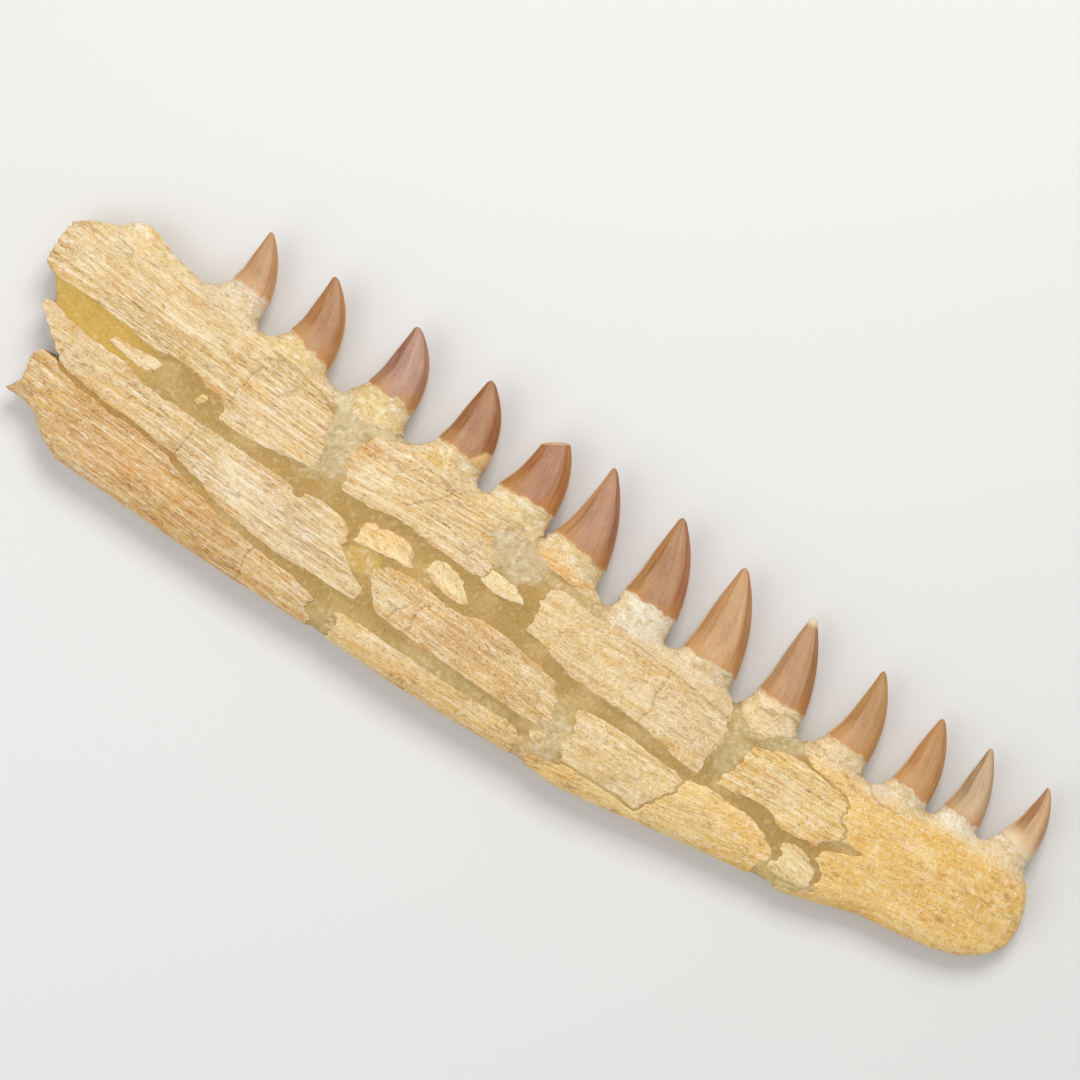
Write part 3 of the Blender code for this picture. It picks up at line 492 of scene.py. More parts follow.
def smooth_cut(a, b, reach):
    """Keeps what is inside both fields, with a rounded edge."""
    return -smooth_union(-a, -b, reach)


def line_distance(points, x, y):
    """Distance to an open line in plan."""
    best = np.full(x.shape, 1e9)
    for (ax, ay), (bx, by) in zip(points, points[1:]):
        dx, dy = bx - ax, by - ay
        share = np.clip(((x - ax) * dx + (y - ay) * dy) / (dx * dx + dy * dy), 0, 1)
        best = np.minimum(best, (x - ax - share * dx) ** 2 + (y - ay - share * dy) ** 2)
    return np.sqrt(best)


def outline_distance(points, x, y):
    """Distance to an outline in plan, below zero inside it."""
    points = (*points, points[0])
    inside = np.zeros(x.shape, bool)
    for (ax, ay), (bx, by) in zip(points, points[1:]):
        if ay != by:
            crosses = (ay > y) != (by > y)
            inside ^= crosses & (x < ax + (y - ay) * (bx - ax) / (by - ay))
    distance = line_distance(points, x, y)
    return np.where(inside, -distance, distance)


def in_window(points, x, y, room):
    """Whether a place in plan is no further than room from a line's own box."""
    (low_x, low_y), (high_x, high_y) = np.min(points, axis=0), np.max(points, axis=0)
    return (x > low_x - room) & (x < high_x + room) & (y > low_y - room) & (y < high_y + room)


def flow(x, y):
    """Plan coordinates that follow the bone's grain, which bends a little."""
    bent = y + 2.6 * noise(x, y, 70, 30, 11) + 0.5 * noise(x, y, 22, 9, 12)
    return x + 2.0 * noise(x, y, 30, 20, 13), bent


def warp(x, y):
    """Plan coordinates moved a little, so that an outline looks broken along the grain."""
    wx = x + 1.1 * noise(x, y, 8, 1.7, 21) + 0.5 * noise(x, y, 2.2, 1.4, 22)
    wy = y + 0.4 * noise(x, y, 5.2, 4.6, 23) + 0.25 * noise(x, y, 2.1, 2.1, 24)
    return wx, wy


def slits(x, y, seed):
    """Narrow slits in the bone, from 0 to 1, long along the grain and in patches."""
    found = smoothstep(noise(*flow(x, y), 5.5, 1.0, seed), 0.5, 0.85)
    where = smoothstep(noise(x, y, 24, 11, seed + 2), -0.3, 0.6)
    return found * (0.15 + 0.85 * where)


def cracks(x, y):
    """How strongly a point lies in a hairline crack, from 0 to 1."""
    wx, wy = x + 0.9 * noise(x, y, 4, 4, 31), y + 0.9 * noise(x, y, 4, 4, 32)
    found = np.zeros(x.shape)
    for line in CRACKS:
        near = in_window(line, x, y, CRACK_ROOM)
        distance = line_distance(line, wx[near], wy[near])
        found[near] = np.maximum(found[near], np.exp(-((distance / CRACK_HALF_WIDTH) ** 2)))
    return found


def relief(x, y, seed):
    """How far the bone's surface lies below its smooth form, in millimetres."""
    gx, gy = flow(x, y)
    depth = BASE_SHRINK + 0.28 * noise(x, y, 30, 13, seed) + 0.13 * noise(gx, gy, 18, 2.1, seed + 1)
    depth = depth + 0.09 * noise(gx, gy, 9, 1.4, seed + 2) + 0.4 * slits(x, y, seed + SLIT_SEED)
    return depth + 0.4 * cracks(x, y)


def height_at(x, w):
    """The height above the floor of a share w of half the thickness."""
    return along(MID_HEIGHT, x) + w * 0.5 * along(THICKNESS, x)


def jaw_field(x, y, w):
    """The jaw's body as a field, in millimetres from its surface; w is the height as a share."""
    low, high = along(LOWER_EDGE, x), along(UPPER_EDGE, x)
    half_depth = np.maximum(0.5 * (high - low), 0.8)
    half_thick = np.maximum(0.5 * along(THICKNESS, x), 0.6)
    v = np.abs((y - 0.5 * (low + high)) / half_depth)
    p = SECTION_POWER
    reach = (v ** p + np.abs(w) ** p) ** (1 / p)
    slope = np.sqrt((v ** (p - 1) / half_depth) ** 2 + (np.abs(w) ** (p - 1) / half_thick) ** 2)
    slope = slope * np.maximum(reach, 0.05) ** (1 - p)
    field = np.clip((reach - 1) / np.maximum(slope, 1e-4), -FIELD_LIMIT, FIELD_LIMIT)
    field = np.maximum(np.maximum(field, x - (TIP_X - 0.3)), REAR_X - x)
    groove = GROOVE_DEPTH * np.exp(-(((y - along(GROOVE_LINE, x)) / GROOVE_HALF_WIDTH) ** 2))
    return field + groove * np.clip(w, 0, 1) * (field > 1 - FIELD_LIMIT)


def bezier(start, control, end, t):
    """Points on the quadratic curve from start to end, one row for each t."""
    a, b, c = (np.array(p, float)[None, :] for p in (start, control, end))
    t = np.atleast_1d(t)[:, None]
    return (1 - t) ** 2 * a + 2 * t * (1 - t) * b + t * t * c


def bowed_control(start, end, bow, side):
    """The control point that bows a curve from start to end out by bow, to the front or the rear."""
    dx, dy = end[0] - start[0], end[1] - start[1]
    reach = 2 * bow * side / math.hypot(dx, dy)
    return start[0] + 0.5 * dx + reach * dy, start[1] + 0.5 * dy - reach * dx


def flare_control(base, notch, flare):
    """The control point of a root's edge from the crown's base down to the notch beside it."""
    return base[0] + flare[0] * (notch[0] - base[0]), base[1] + flare[1] * (notch[1] - base[1])


def root_field(index, x, y, z):
    """A tooth's root, from inside the jaw up to just above the crown's edge, as a field."""
    rear, front, tip, rear_bow, front_bow = TEETH[index]
    edges = []
    for base, notch, flare, bow, side in (
        (rear, NOTCHES[index], REAR_FLARE, rear_bow, -1),
        (front, NOTCHES[index + 1], FRONT_FLARE, front_bow, 1),
    ):
        low = (notch[0], notch[1] - ROOT_NECK_SINK)
        down = bezier(base, flare_control(base, low, flare), low, np.linspace(1, 0, 16))
        up = bezier(base, bowed_control(base, tip, bow, side), tip, np.linspace(0.03, 0.4, 12))
        line = np.vstack([down, up])
        order = np.argsort(line[:, 1])
        edges.append(np.interp(y, line[order, 1], line[order, 0]))
    middle, base_y = 0.5 * (rear[0] + front[0]), 0.5 * (rear[1] + front[1])
    inset = ENAMEL + 0.7 * smoothstep(y, base_y - 2, base_y + 3)
    half_width = np.maximum(0.5 * (edges[1] - edges[0]) - inset, 0.5)
    root_half = ROOT_HALF_THICKNESS * along(THICKNESS, middle)
    crown_half = 0.5 * math.dist(rear, front) * CROWN_THICKNESS[0] - ENAMEL - 0.35
    half_thick = root_half + (crown_half - root_half) * smoothstep(y, base_y - 7, base_y)
    half_thick = half_thick - 1.6 * smoothstep(y, base_y - 0.5, base_y + 4)
    u = (x - 0.5 * (edges[0] + edges[1])) / half_width
    lift = (z - along(MID_HEIGHT, middle)) / half_thick
    body = (np.sqrt(u * u + lift * lift) - 1) * 0.9 * np.minimum(half_width, half_thick)
    notch_y = min(NOTCHES[index][1], NOTCHES[index + 1][1])
    return np.maximum(np.maximum(body, y - (base_y + ROOT_TOP)), (notch_y - ROOT_FOOT) - y)


def level_shares():
    """Height shares of the grid's layers: fine near both faces, coarse in between."""
    half = [0.0]
    for limit, step in LEVEL_STEPS:
        while half[-1] < limit:
            half.append(half[-1] + step)
    return np.array([-value for value in reversed(half[1:])] + half)


LEVELS = level_shares()


def surface_net(field):
    """Vertices in grid units and quads of a field's zero level. Outside is above zero."""
    inside = field < 0
    shape = tuple(n - 1 for n in field.shape)
    corners = [(i, j, k) for i in (0, 1) for j in (0, 1) for k in (0, 1)]
    count = np.zeros(shape, np.int8)
    for i, j, k in corners:
        count += inside[i:shape[0] + i, j:shape[1] + j, k:shape[2] + k]
    active = (count > 0) & (count < 8)
    cells = np.argwhere(active)
    index = np.full(shape, -1, np.int64)
    index[active] = np.arange(len(cells))
    total, hits = np.zeros((len(cells), 3)), np.zeros(len(cells))
    steps = np.eye(3, dtype=np.int64)
    for axis, step in enumerate(steps):
        for corner in corners:
            if corner[axis]:
                continue
            start = cells + corner
            a, b = field[tuple(start.T)], field[tuple((start + step).T)]
            cross = (a < 0) != (b < 0)
            share = a[cross] / (a[cross] - b[cross])
            total[cross] += np.array(corner) + share[:, None] * step
            hits[cross] += 1
    quads = []
    for axis in range(3):
        one, two = (axis + 1) % 3, (axis + 2) % 3
        lines = np.moveaxis(inside, axis, 0)
        changes = np.argwhere(np.moveaxis(lines[:-1] != lines[1:], 0, axis))
        sides = changes[:, [one, two]]
        last = np.array([field.shape[one], field.shape[two]]) - 1
        changes = changes[((sides > 0) & (sides < last)).all(axis=1)]
        around = (
            changes - steps[one] - steps[two], changes - steps[two], changes, changes - steps[one],
        )
        ring = np.stack([index[tuple(cell.T)] for cell in around], axis=1)
        inward = ~inside[tuple(changes.T)]
        ring[inward] = ring[inward][:, ::-1]
        quads.append(ring)
    quads = np.vstack(quads)
    return cells + total / hits[:, None], quads[(quads >= 0).all(axis=1)]


def grid_window(outline):
    """The grid's lines that cover an outline in plan, with room for the surface to close."""
    window = []
    for low, high, places in zip(GRID_LOW, GRID_HIGH, np.clip(outline, GRID_LOW, GRID_HIGH).T):
        line = np.arange(low, high, MESH_STEP)
        window.append(line[(line > places.min() - GRID_ROOM) & (line < places.max() + GRID_ROOM)])
    return window


def toothed_field(xs, ys):
    """The jaw with its roots on a window of the grid, and the heights of the grid's points."""
    x, y, w = xs[:, None, None], ys[None, :, None], LEVELS[None, None, :]
    z = height_at(x, w)
    field = jaw_field(x, y, w)
    for i, tooth in enumerate(TEETH):
        rear, front = NOTCHES[i][0] - ROOT_ROOM, NOTCHES[i + 1][0] + ROOT_ROOM
        low, high = NOTCHES[i + 1][1] - ROOM_BELOW, tooth[0][1] + ROOM_ABOVE
        columns = np.nonzero((xs > rear) & (xs < front))[0]
        rows = np.nonzero((ys > low) & (ys < high))[0]
        if len(columns) < 2 or len(rows) < 2:
            continue
        part = (slice(columns[0], columns[-1] + 1), slice(rows[0], rows[-1] + 1))
        root = root_field(i, x[part[0]], y[:, part[1]], z[part[0]])
        field[part] = smooth_union(field[part], root, ROOT_FILLET)
    return field, z


def draw_surface(field, xs, ys):
    """Points in millimetres, height shares and quads of a field's surface, closed all round."""
    field[0], field[-1], field[:, 0], field[:, -1] = OUTSIDE, OUTSIDE, OUTSIDE, OUTSIDE
    vertices, quads = surface_net(field)
    x, y, w = (
        np.interp(places, np.arange(len(line)), line)
        for places, line in zip(vertices.T, (xs, ys, LEVELS))
    )
    return np.stack([x, y, np.maximum(height_at(x, w), 0)], axis=1), w, quads


def add_object(name, data):
    """A new object in the scene."""
    made = bpy.data.objects.new(name, data)
    bpy.context.scene.collection.objects.link(made)
    return made


def make_mesh(name, points, quads, colours, finish, grain=None, fibrous=1.0):
    """A smooth-shaded object from points in millimetres, with a colour and a grain place at each.

    The colour's alpha says how much of the material's fibre shows.
    """
    mesh = bpy.data.meshes.new(name)
    placed = points * MM + np.array([*SHIFT, 0])
    mesh.vertices.add(len(placed))
    mesh.vertices.foreach_set("co", placed.astype(np.float32).ravel())
    mesh.loops.add(quads.size)
    mesh.loops.foreach_set("vertex_index", quads.astype(np.int32).ravel())
    mesh.polygons.add(len(quads))
    mesh.polygons.foreach_set("loop_start", np.arange(0, quads.size, 4, dtype=np.int32))
    mesh.update(calc_edges=True)
    mesh.validate()
    mesh.shade_smooth()
    rgba = np.ones((len(points), 4), np.float32)
    rgba[:, :3] = np.clip(colours, 0, 1)
    rgba[:, 3] = fibrous
    mesh.color_attributes.new("tint", "FLOAT_COLOR", "POINT").data.foreach_set("color", rgba.ravel())
    flowing = (points if grain is None else grain).astype(np.float32).ravel()
    mesh.attributes.new("grain", "FLOAT_VECTOR", "POINT").data.foreach_set("vector", flowing)
    mesh.materials.append(finish)
    return add_object(name, mesh)


class Paint:
    """Tones at a piece's points, blended one layer over another onto a base tone.

    A layer's tone is a screen colour, a linear colour, or three factors on the base tone.
    """

    def __init__(self, base, brightness, count):
        self.base = tone(base)
        self.colours = np.repeat(self.base[None, :] * brightness, count, axis=0)

    def blend(self, other, share):
        """Moves the tones towards another by a share at each point."""
        if isinstance(other, str):
            other = tone(other)
        elif isinstance(other, tuple):
            other = self.base * other
        self.colours = self.colours + (other - self.colours) * np.clip(share, 0, 1)[:, None]

    def layer(self, other, strength, value, low, high):
        """Blends in a tone where a value rises from low to high."""
        self.blend(other, strength * smoothstep(value, low, high))

    def clouds(self, value, above, below=None, share=1.0):
        """Blends in one tone where a value runs high and, if given, one where it runs low."""
        for side, row in ((value, above), (-value, below)):
            if row is not None:
                self.layer(row[0], row[1] * share, side, *row[2:])

    def marks(self, rows, x, y, ragged, low, high):
        """Blends in ragged oval marks."""
        for row in rows:
            self.blend(row[2], row[3] * mark_share(row, x, y, ragged, low, high))


def mark_share(mark, x, y, ragged, low, high):
    """How far a point lies in a ragged oval mark, from 0 to 1."""
    (cx, cy), (rx, ry) = mark[:2]
    away = ((x - cx) / rx) ** 2 + ((y - cy) / ry) ** 2 + ragged
    return smoothstep(-away, low, high)


def patch_shares(x, y):
    """The tone and strength of each patch of paler matrix, and how far a point lies in it."""
    ragged = 0.5 * noise(x, y, 7, 6, 66)
    for patch in MATRIX_PATCHES:
        yield patch[2], patch[3], mark_share(patch, x, y, ragged, -1.5, -0.5)


def bone_colours(name, points, w, edge):
    """Tones of a bone: broad streaks, stains, roots, cracks, pale rims inside the broken edges and a
    dark line of painted shade at them.
    """
    px, py, pz = points.T
    under = w < 0
    x = px + np.where(under, UNDERSIDE_SHIFT[0], 0.0)
    y = py + np.where(under, UNDERSIDE_SHIFT[1], 0.0)
    grain = flow(x, y)
    paint = Paint(BONE_LOOKS[name][0], 1.07, len(points))
    for kind, (rows, *layers) in BONE_LAYERS.items():
        if kind == "tip_mottle" and name != "dentary_tip":
            continue
        value = octaves(*((x, y) if kind in PLAN_LAYERS else grain), *rows)
        if kind == "yellow" and name in CHIPS:
            value = value - 0.5
        paint.clouds(value, *layers)
    paint.marks(STAINS, px, py, 0.9 * noise(px, py, 7, 1.6, 47), -1.3, -0.1)
    paint_roots(paint, px, py)
    paint.blend("9A6B34", 0.55 * (slits(px, py, UPPER_RELIEF + SLIT_SEED) * np.where(under, 0.5, 1.0)))
    paint.blend("7A5226", 0.5 * cracks(px, py))
    stained = smoothstep(noise(px, py, 15, 9, 48), -0.1, 0.6) * smoothstep(edge, -4.5, -0.5)
    paint.blend("D9A658", 0.55 * stained)
    smear = edge + 1.6 * noise(px, py, 4.5, 2.2, 49) + 1.2 * noise(px, py, 12, 8, 50)
    paint.layer(MATRIX_TONE, 0.6, smear, 0.3, 1.6)
    creep = smoothstep(smear, -3.0, -0.2)
    for patch_tone, strength, share in patch_shares(px, py):
        paint.blend(patch_tone, 0.85 * strength * (share * creep))
    inner = smoothstep(edge, -0.75, -0.3) * smoothstep(-np.abs(w), -0.86, -0.6)
    pores = noise(px + py, pz, 1.5, 1.1, 57) + 0.6 * noise(px - py, pz, 0.9, 0.8, 58)
    paint.blend((0.80, 0.66, 0.48), 0.6 * inner)
    paint.layer("6E4B24", 0.75 * inner, pores, 0.15, 0.8)
    rim = np.exp(-(((edge + 0.8) / 0.5) ** 2)) * smoothstep(noise(px, py, 9, 6, 54), -0.4, 0.4)
    paint.blend("F6E6C2", 0.4 * rim)
    # A dark line at the very edge of each fragment is painted shade where the bone drops to the
    # filling.
    paint.layer("8A6A38", 0.7, edge, -0.45, 0.05)
    return paint.colours


def above_notches(x, y):
    """How far a point lies above the bone's edge between the teeth, unevenly."""
    return y - along(NOTCHES, x) + 2.2 * noise(x, y, 7, 5, 51)


def paint_roots(paint, x, y):
    """Pale bone and cement round the roots, each tooth with its own tone."""
    ragged = above_notches(x, y)
    for i, look in enumerate(TOOTH_LOOKS):
        rear, front = NOTCHES[i][0], NOTCHES[i + 1][0]
        here = smoothstep(x, rear - 2, rear + 2) * (1 - smoothstep(x, front - 2, front + 2))
        paint.blend(look[1], 0.9 * (here * smoothstep(ragged, *ROOT_BAND)))
    paint.marks(ROOT_MARKS, x, y, 0.45 * noise(x, y, 4, 2.6, 71), -1.3, -0.6)
    above = smoothstep(ragged, -4, 3)
    blotch = octaves(x, y, (1, 3.6, 2.6, 52), (0.7, 1.4, 1.2, 53))
    paint.clouds(blotch, ("CDA75E", 0.6, 0.1, 1.0), ("F6EDD6", 0.6, 0.15, 0.9), above)
    cloud = octaves(x, y, (1, 6.5, 4.2, 72), (0.4, 2.2, 1.8, 73))
    paint.clouds(cloud, ("E5C98A", 0.4, 0.1, 0.9), ("C2AF8A", 0.45, 0.2, 0.9), above)
    rings = octaves(x, y, (1, 9, 0.8, 74), (0.5, 4, 0.5, 75))
    paint.clouds(rings, ("A88A58", 0.35, 0.5, 1.1), share=above)


def fragment_edge(outline, spread, x, y):
    """Distance to a fragment's broken outline, grown by spread, and to the seam of the splenial."""
    wx, wy = warp(x, y)
    edge = outline_distance(outline, wx, wy) - spread
    return np.maximum(edge, SEAM_HALF_WIDTH - line_distance(SPLENIAL_SEAM, wx, wy))


def fragment_field(outline, floor, spread, xs, ys):
    """A fragment of bone as a field: the jaw less its relief, cut by the fragment's outline."""
    x, y = np.meshgrid(xs, ys, indexing="ij")
    field, z = toothed_field(xs, ys)
    broken = 0.3 * noise((x + y)[:, :, None], z, 2.4, 1.9, 31)
    broken = broken + 0.22 * noise((x - y)[:, :, None], z, 1.1, 1.2, 32)
    upper = smoothstep(LEVELS, -0.3, 0.3)[None, None, :]
    below = relief(x + UNDERSIDE_SHIFT[0], y + UNDERSIDE_SHIFT[1], UNDER_RELIEF)[:, :, None]
    depth = relief(x, y, UPPER_RELIEF)[:, :, None] * upper + below * (1 - upper)
    rim = RIM_RELIEF + (1 - RIM_RELIEF) * smoothstep(np.abs(LEVELS), 0.15, 0.6)
    smooth = 1 - 0.75 * smoothstep(y - along(NOTCHES, x), -6, 1)
    depth = depth * smooth[:, :, None] * rim[None, None, :]
    edge = fragment_edge(outline, spread, x, y)[:, :, None]
    cut = edge + 0.5 * GAP + BREAK_DEPTH + broken * (1 - np.abs(LEVELS) ** 3)
    field = smooth_cut(field + depth, cut, 0.7)
    return field if floor is None else np.maximum(field, floor - z)


def make_bone(name, outline, floor, spread, finish):
    """One fragment of bone, down to a floor inside the jaw if one is given."""
    xs, ys = grid_window(outline)
    points, w, quads = draw_surface(fragment_field(outline, floor, spread, xs, ys), xs, ys)
    x, y, z = points.T
    colours = bone_colours(name, points, w, fragment_edge(outline, spread, x, y))
    gx, gy = flow(x, y)
    lean, stretch, shown = BONE_LOOKS[name][1:]
    shift = BONE_SHIFT * sorted(BONE_LOOKS).index(name)
    grain = np.column_stack([stretch * gx + shift, gy + lean * gx, z])
    fibrous = shown * (1 - 0.7 * smoothstep(above_notches(x, y), *ROOT_BAND))
    piece = make_mesh("bone_" + name, points, quads, colours, finish, grain, fibrous)
    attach(piece, "root")
    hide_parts(name)


def matrix_field(xs, ys):
    """The sandy filling as a field: the jaw sunk a little, and cut off a short way under the bones."""
    x, y = np.meshgrid(xs, ys, indexing="ij")
    nearest = {"bones": np.full(x.shape, FAR), "chips": np.full(x.shape, FAR)}
    for name, outline in [*BONES.items(), *CHIPS.items()]:
        near = in_window(outline, x, y, 6)
        target = nearest["bones" if name in BONES else "chips"]
        distance = outline_distance(outline, *warp(x[near], y[near]))
        target[near] = np.minimum(target[near], distance)
    edge = np.minimum(nearest["bones"], nearest["chips"])
    sunk = MATRIX_SUNK + MATRIX_HOLLOW * smoothstep(edge, 0.1, 2.6) + 0.22 * noise(x, y, 11, 8, 61)
    for _, strength, share in patch_shares(x, y):
        sunk = sunk - 0.4 * strength * share * np.minimum(sunk, 1.6)
    sunk = sunk + 0.12 * noise(x, y, 3.2, 2.6, 62) + 0.09 * noise(x, y, 1.4, 1.4, 63)
    field = toothed_field(xs, ys)[0] + sunk[:, :, None]
    field = smooth_cut(field, -(nearest["bones"] + MATRIX_UNDER)[:, :, None], 0.3)
    wx, wy = warp(x, y)
    limit = outline_distance(MATRIX_LIMIT, wx, wy)
    limit = np.minimum(limit, line_distance(SPLENIAL_SEAM, wx, wy) - 2.5)
    return smooth_cut(field, limit[:, :, None], 1.5)


def matrix_colours(x, y):
    """Tones of the filling: golden at the rear, with clouds, crumbs and the paler patches."""
    paint = Paint(MATRIX_TONE, 1, len(x))
    golden = smoothstep(-x, -75, -45)
    paint.blend(REAR_MATRIX_TONE, 0.9 * golden)
    cloud = noise(x, y, 15, 8, 65) * (1 - 0.8 * golden)
    paint.clouds(cloud, ("A98848", 0.45, 0.0, 0.8), ("CEB178", 0.5, 0.1, 0.8))
    paint.layer("A67B3C", 0.8, -line_distance(SPLENIAL_SEAM, x, y), -4, -2)
    crumb = octaves(x, y, (1, 2.2, 1.7, 68), (0.8, 1.1, 0.9, 69))
    for patch_tone, strength, share in patch_shares(x, y):
        near = strength * share
        paint.blend(patch_tone, near)
        paint.clouds(crumb, ("9C8660", 0.5, 0.3, 1.0), ("E9DDC0", 0.5, 0.3, 1.0), near)
    grain = noise(x, y, 1.4, 1.4, 67)
    paint.clouds(grain, ("8B7036", 0.28, 0.3, 0.9), ("E6D2A2", 0.3, 0.4, 0.95))
    return paint.colours


def make_matrix(finish):
    """The sandy filling, which shows between the bones."""
    xs, ys = grid_window((GRID_LOW, GRID_HIGH))
    points, _, quads = draw_surface(matrix_field(xs, ys), xs, ys)
    colours = matrix_colours(points[:, 0], points[:, 1])
    piece = make_mesh("filling", points, quads, colours, finish)
    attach(piece, "root")
    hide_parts("matrix")


def crown_points(index):
    """A crown's rings, each point's share along the crown and its angle round it."""
    rear, front, tip, rear_bow, front_bow = TEETH[index]
    shares = np.concatenate([
        np.linspace(BASE_START, BASE_END, BASE_RINGS),
        np.linspace(SIDE_START, TIP_START, CROWN_RINGS - BASE_RINGS - TIP_RINGS),
        1 - (1 - TIP_START) * np.linspace(1, 0, TIP_RINGS + 1)[1:] ** 1.6,
    ])
    angles = 2 * math.pi * np.arange(CROWN_SIDES) / CROWN_SIDES
    c, s = np.cos(angles), np.sin(angles)
    uneven = 0.012 * noise(c * 3 + 9, s * 3 + 9, 1.1, 1.1, 700 + index)
    uneven = uneven + 0.006 * noise(c * 9 + 9, s * 9 + 9, 1.1, 1.1, 720 + index)
    base_half = 0.5 * math.dist(rear, front) * CROWN_THICKNESS[0]
    height = along(MID_HEIGHT, 0.5 * (rear[0] + front[0]))
    away = np.array(tip, float) - 0.5 * (np.array(rear, float) + np.array(front, float))
    point = np.array(tip, float) + TIP_EXTRA * away / math.hypot(*away)
    bluntness = 1 if index == BROKEN_TOOTH else 1 - TIP_CUT
    side = np.abs(s) ** 1.22
    facet = 1.12 * smooth_union(0.74 + 0.16 * side, side, 0.3)
    rings = []
    for share in shares:
        at = share * bluntness + uneven * (1 - smoothstep(share, 0.02, 0.3))
        left = bezier(rear, bowed_control(rear, point, rear_bow, -1), point, at)
        right = bezier(front, bowed_control(front, point, front_bow, 1), point, at)
        flared = 0.5 * BASE_FLARE * math.exp(-(((share - 0.26) / 0.2) ** 2))
        middle, reach = 0.5 * (left + right) + (flared, 0), 0.5 * (right - left) - (flared, 0)
        ratio = CROWN_THICKNESS[0] + at * (CROWN_THICKNESS[1] - CROWN_THICKNESS[0])
        half = np.minimum(np.hypot(reach[:, 0], reach[:, 1]) * ratio, base_half)
        uneven_face = 1 + 0.02 * np.cos(7 * angles + index) * smoothstep(share, 0.0, 0.25)
        round_off = math.sqrt(max(1 - max((share - TIP_ROUND) / (1 - TIP_ROUND), 0) ** 2, 0))
        tuck = 0.1 * smoothstep(-share, -0.004, 0.02) + 0.25 * smoothstep(-share, 0.012, 0.05)
        if index in FADING:
            tuck = tuck + FLUSH_BASE * smoothstep(-share, -0.7 * FADING[index], 0.0)
        shrink = (1 - tuck) * round_off
        level = height + half * np.sign(s) * facet * uneven_face * shrink
        level = level + CROWN_TIP_RISE * np.clip(at, 0, 1) ** 2
        rings.append(np.column_stack([middle + reach * (c * shrink)[:, None], level]))
    return np.array(rings), shares, angles


def break_off(rings, point, normal, seed):
    """Ends a crown at a break: each line up its side turns in over a rounded rim to the middle.

    It also gives how far each point of the whole crown lay beyond the break.
    """
    unit = np.array([*normal, 0]) / math.hypot(*normal)
    beyond = (rings - np.array([*point, 0])) @ unit + BREAK_RISE
    last = len(rings) - 1
    ends, rows = [], []
    for column in range(CROWN_SIDES):
        row = int(np.argmax(beyond[:, column] > 0))
        before, after = beyond[row - 1, column], beyond[row, column]
        share = before / (before - after)
        ends.append(rings[row - 1, column] + share * (rings[row, column] - rings[row - 1, column]))
        rows.append(row)
    middle = np.mean(ends, axis=0)
    broken = rings.copy()
    for column, (end, first) in enumerate(zip(ends, rows)):
        inward = ((np.arange(first, last + 1) - first) / (last - first)) ** 1.8
        turned = np.clip(inward / BREAK_RIM, 0, 1)
        rise = BREAK_RISE * np.sqrt(1 - (1 - turned) ** 2)
        place_at = end + (middle - end) * inward[:, None]
        rough = 0.25 * turned * noise(place_at[:, 0] * 2, place_at[:, 2], 1.6, 1.6, seed)
        broken[first:, column] = place_at + unit * (rise + rough)[:, None]
    return broken, beyond.ravel() - BREAK_RISE


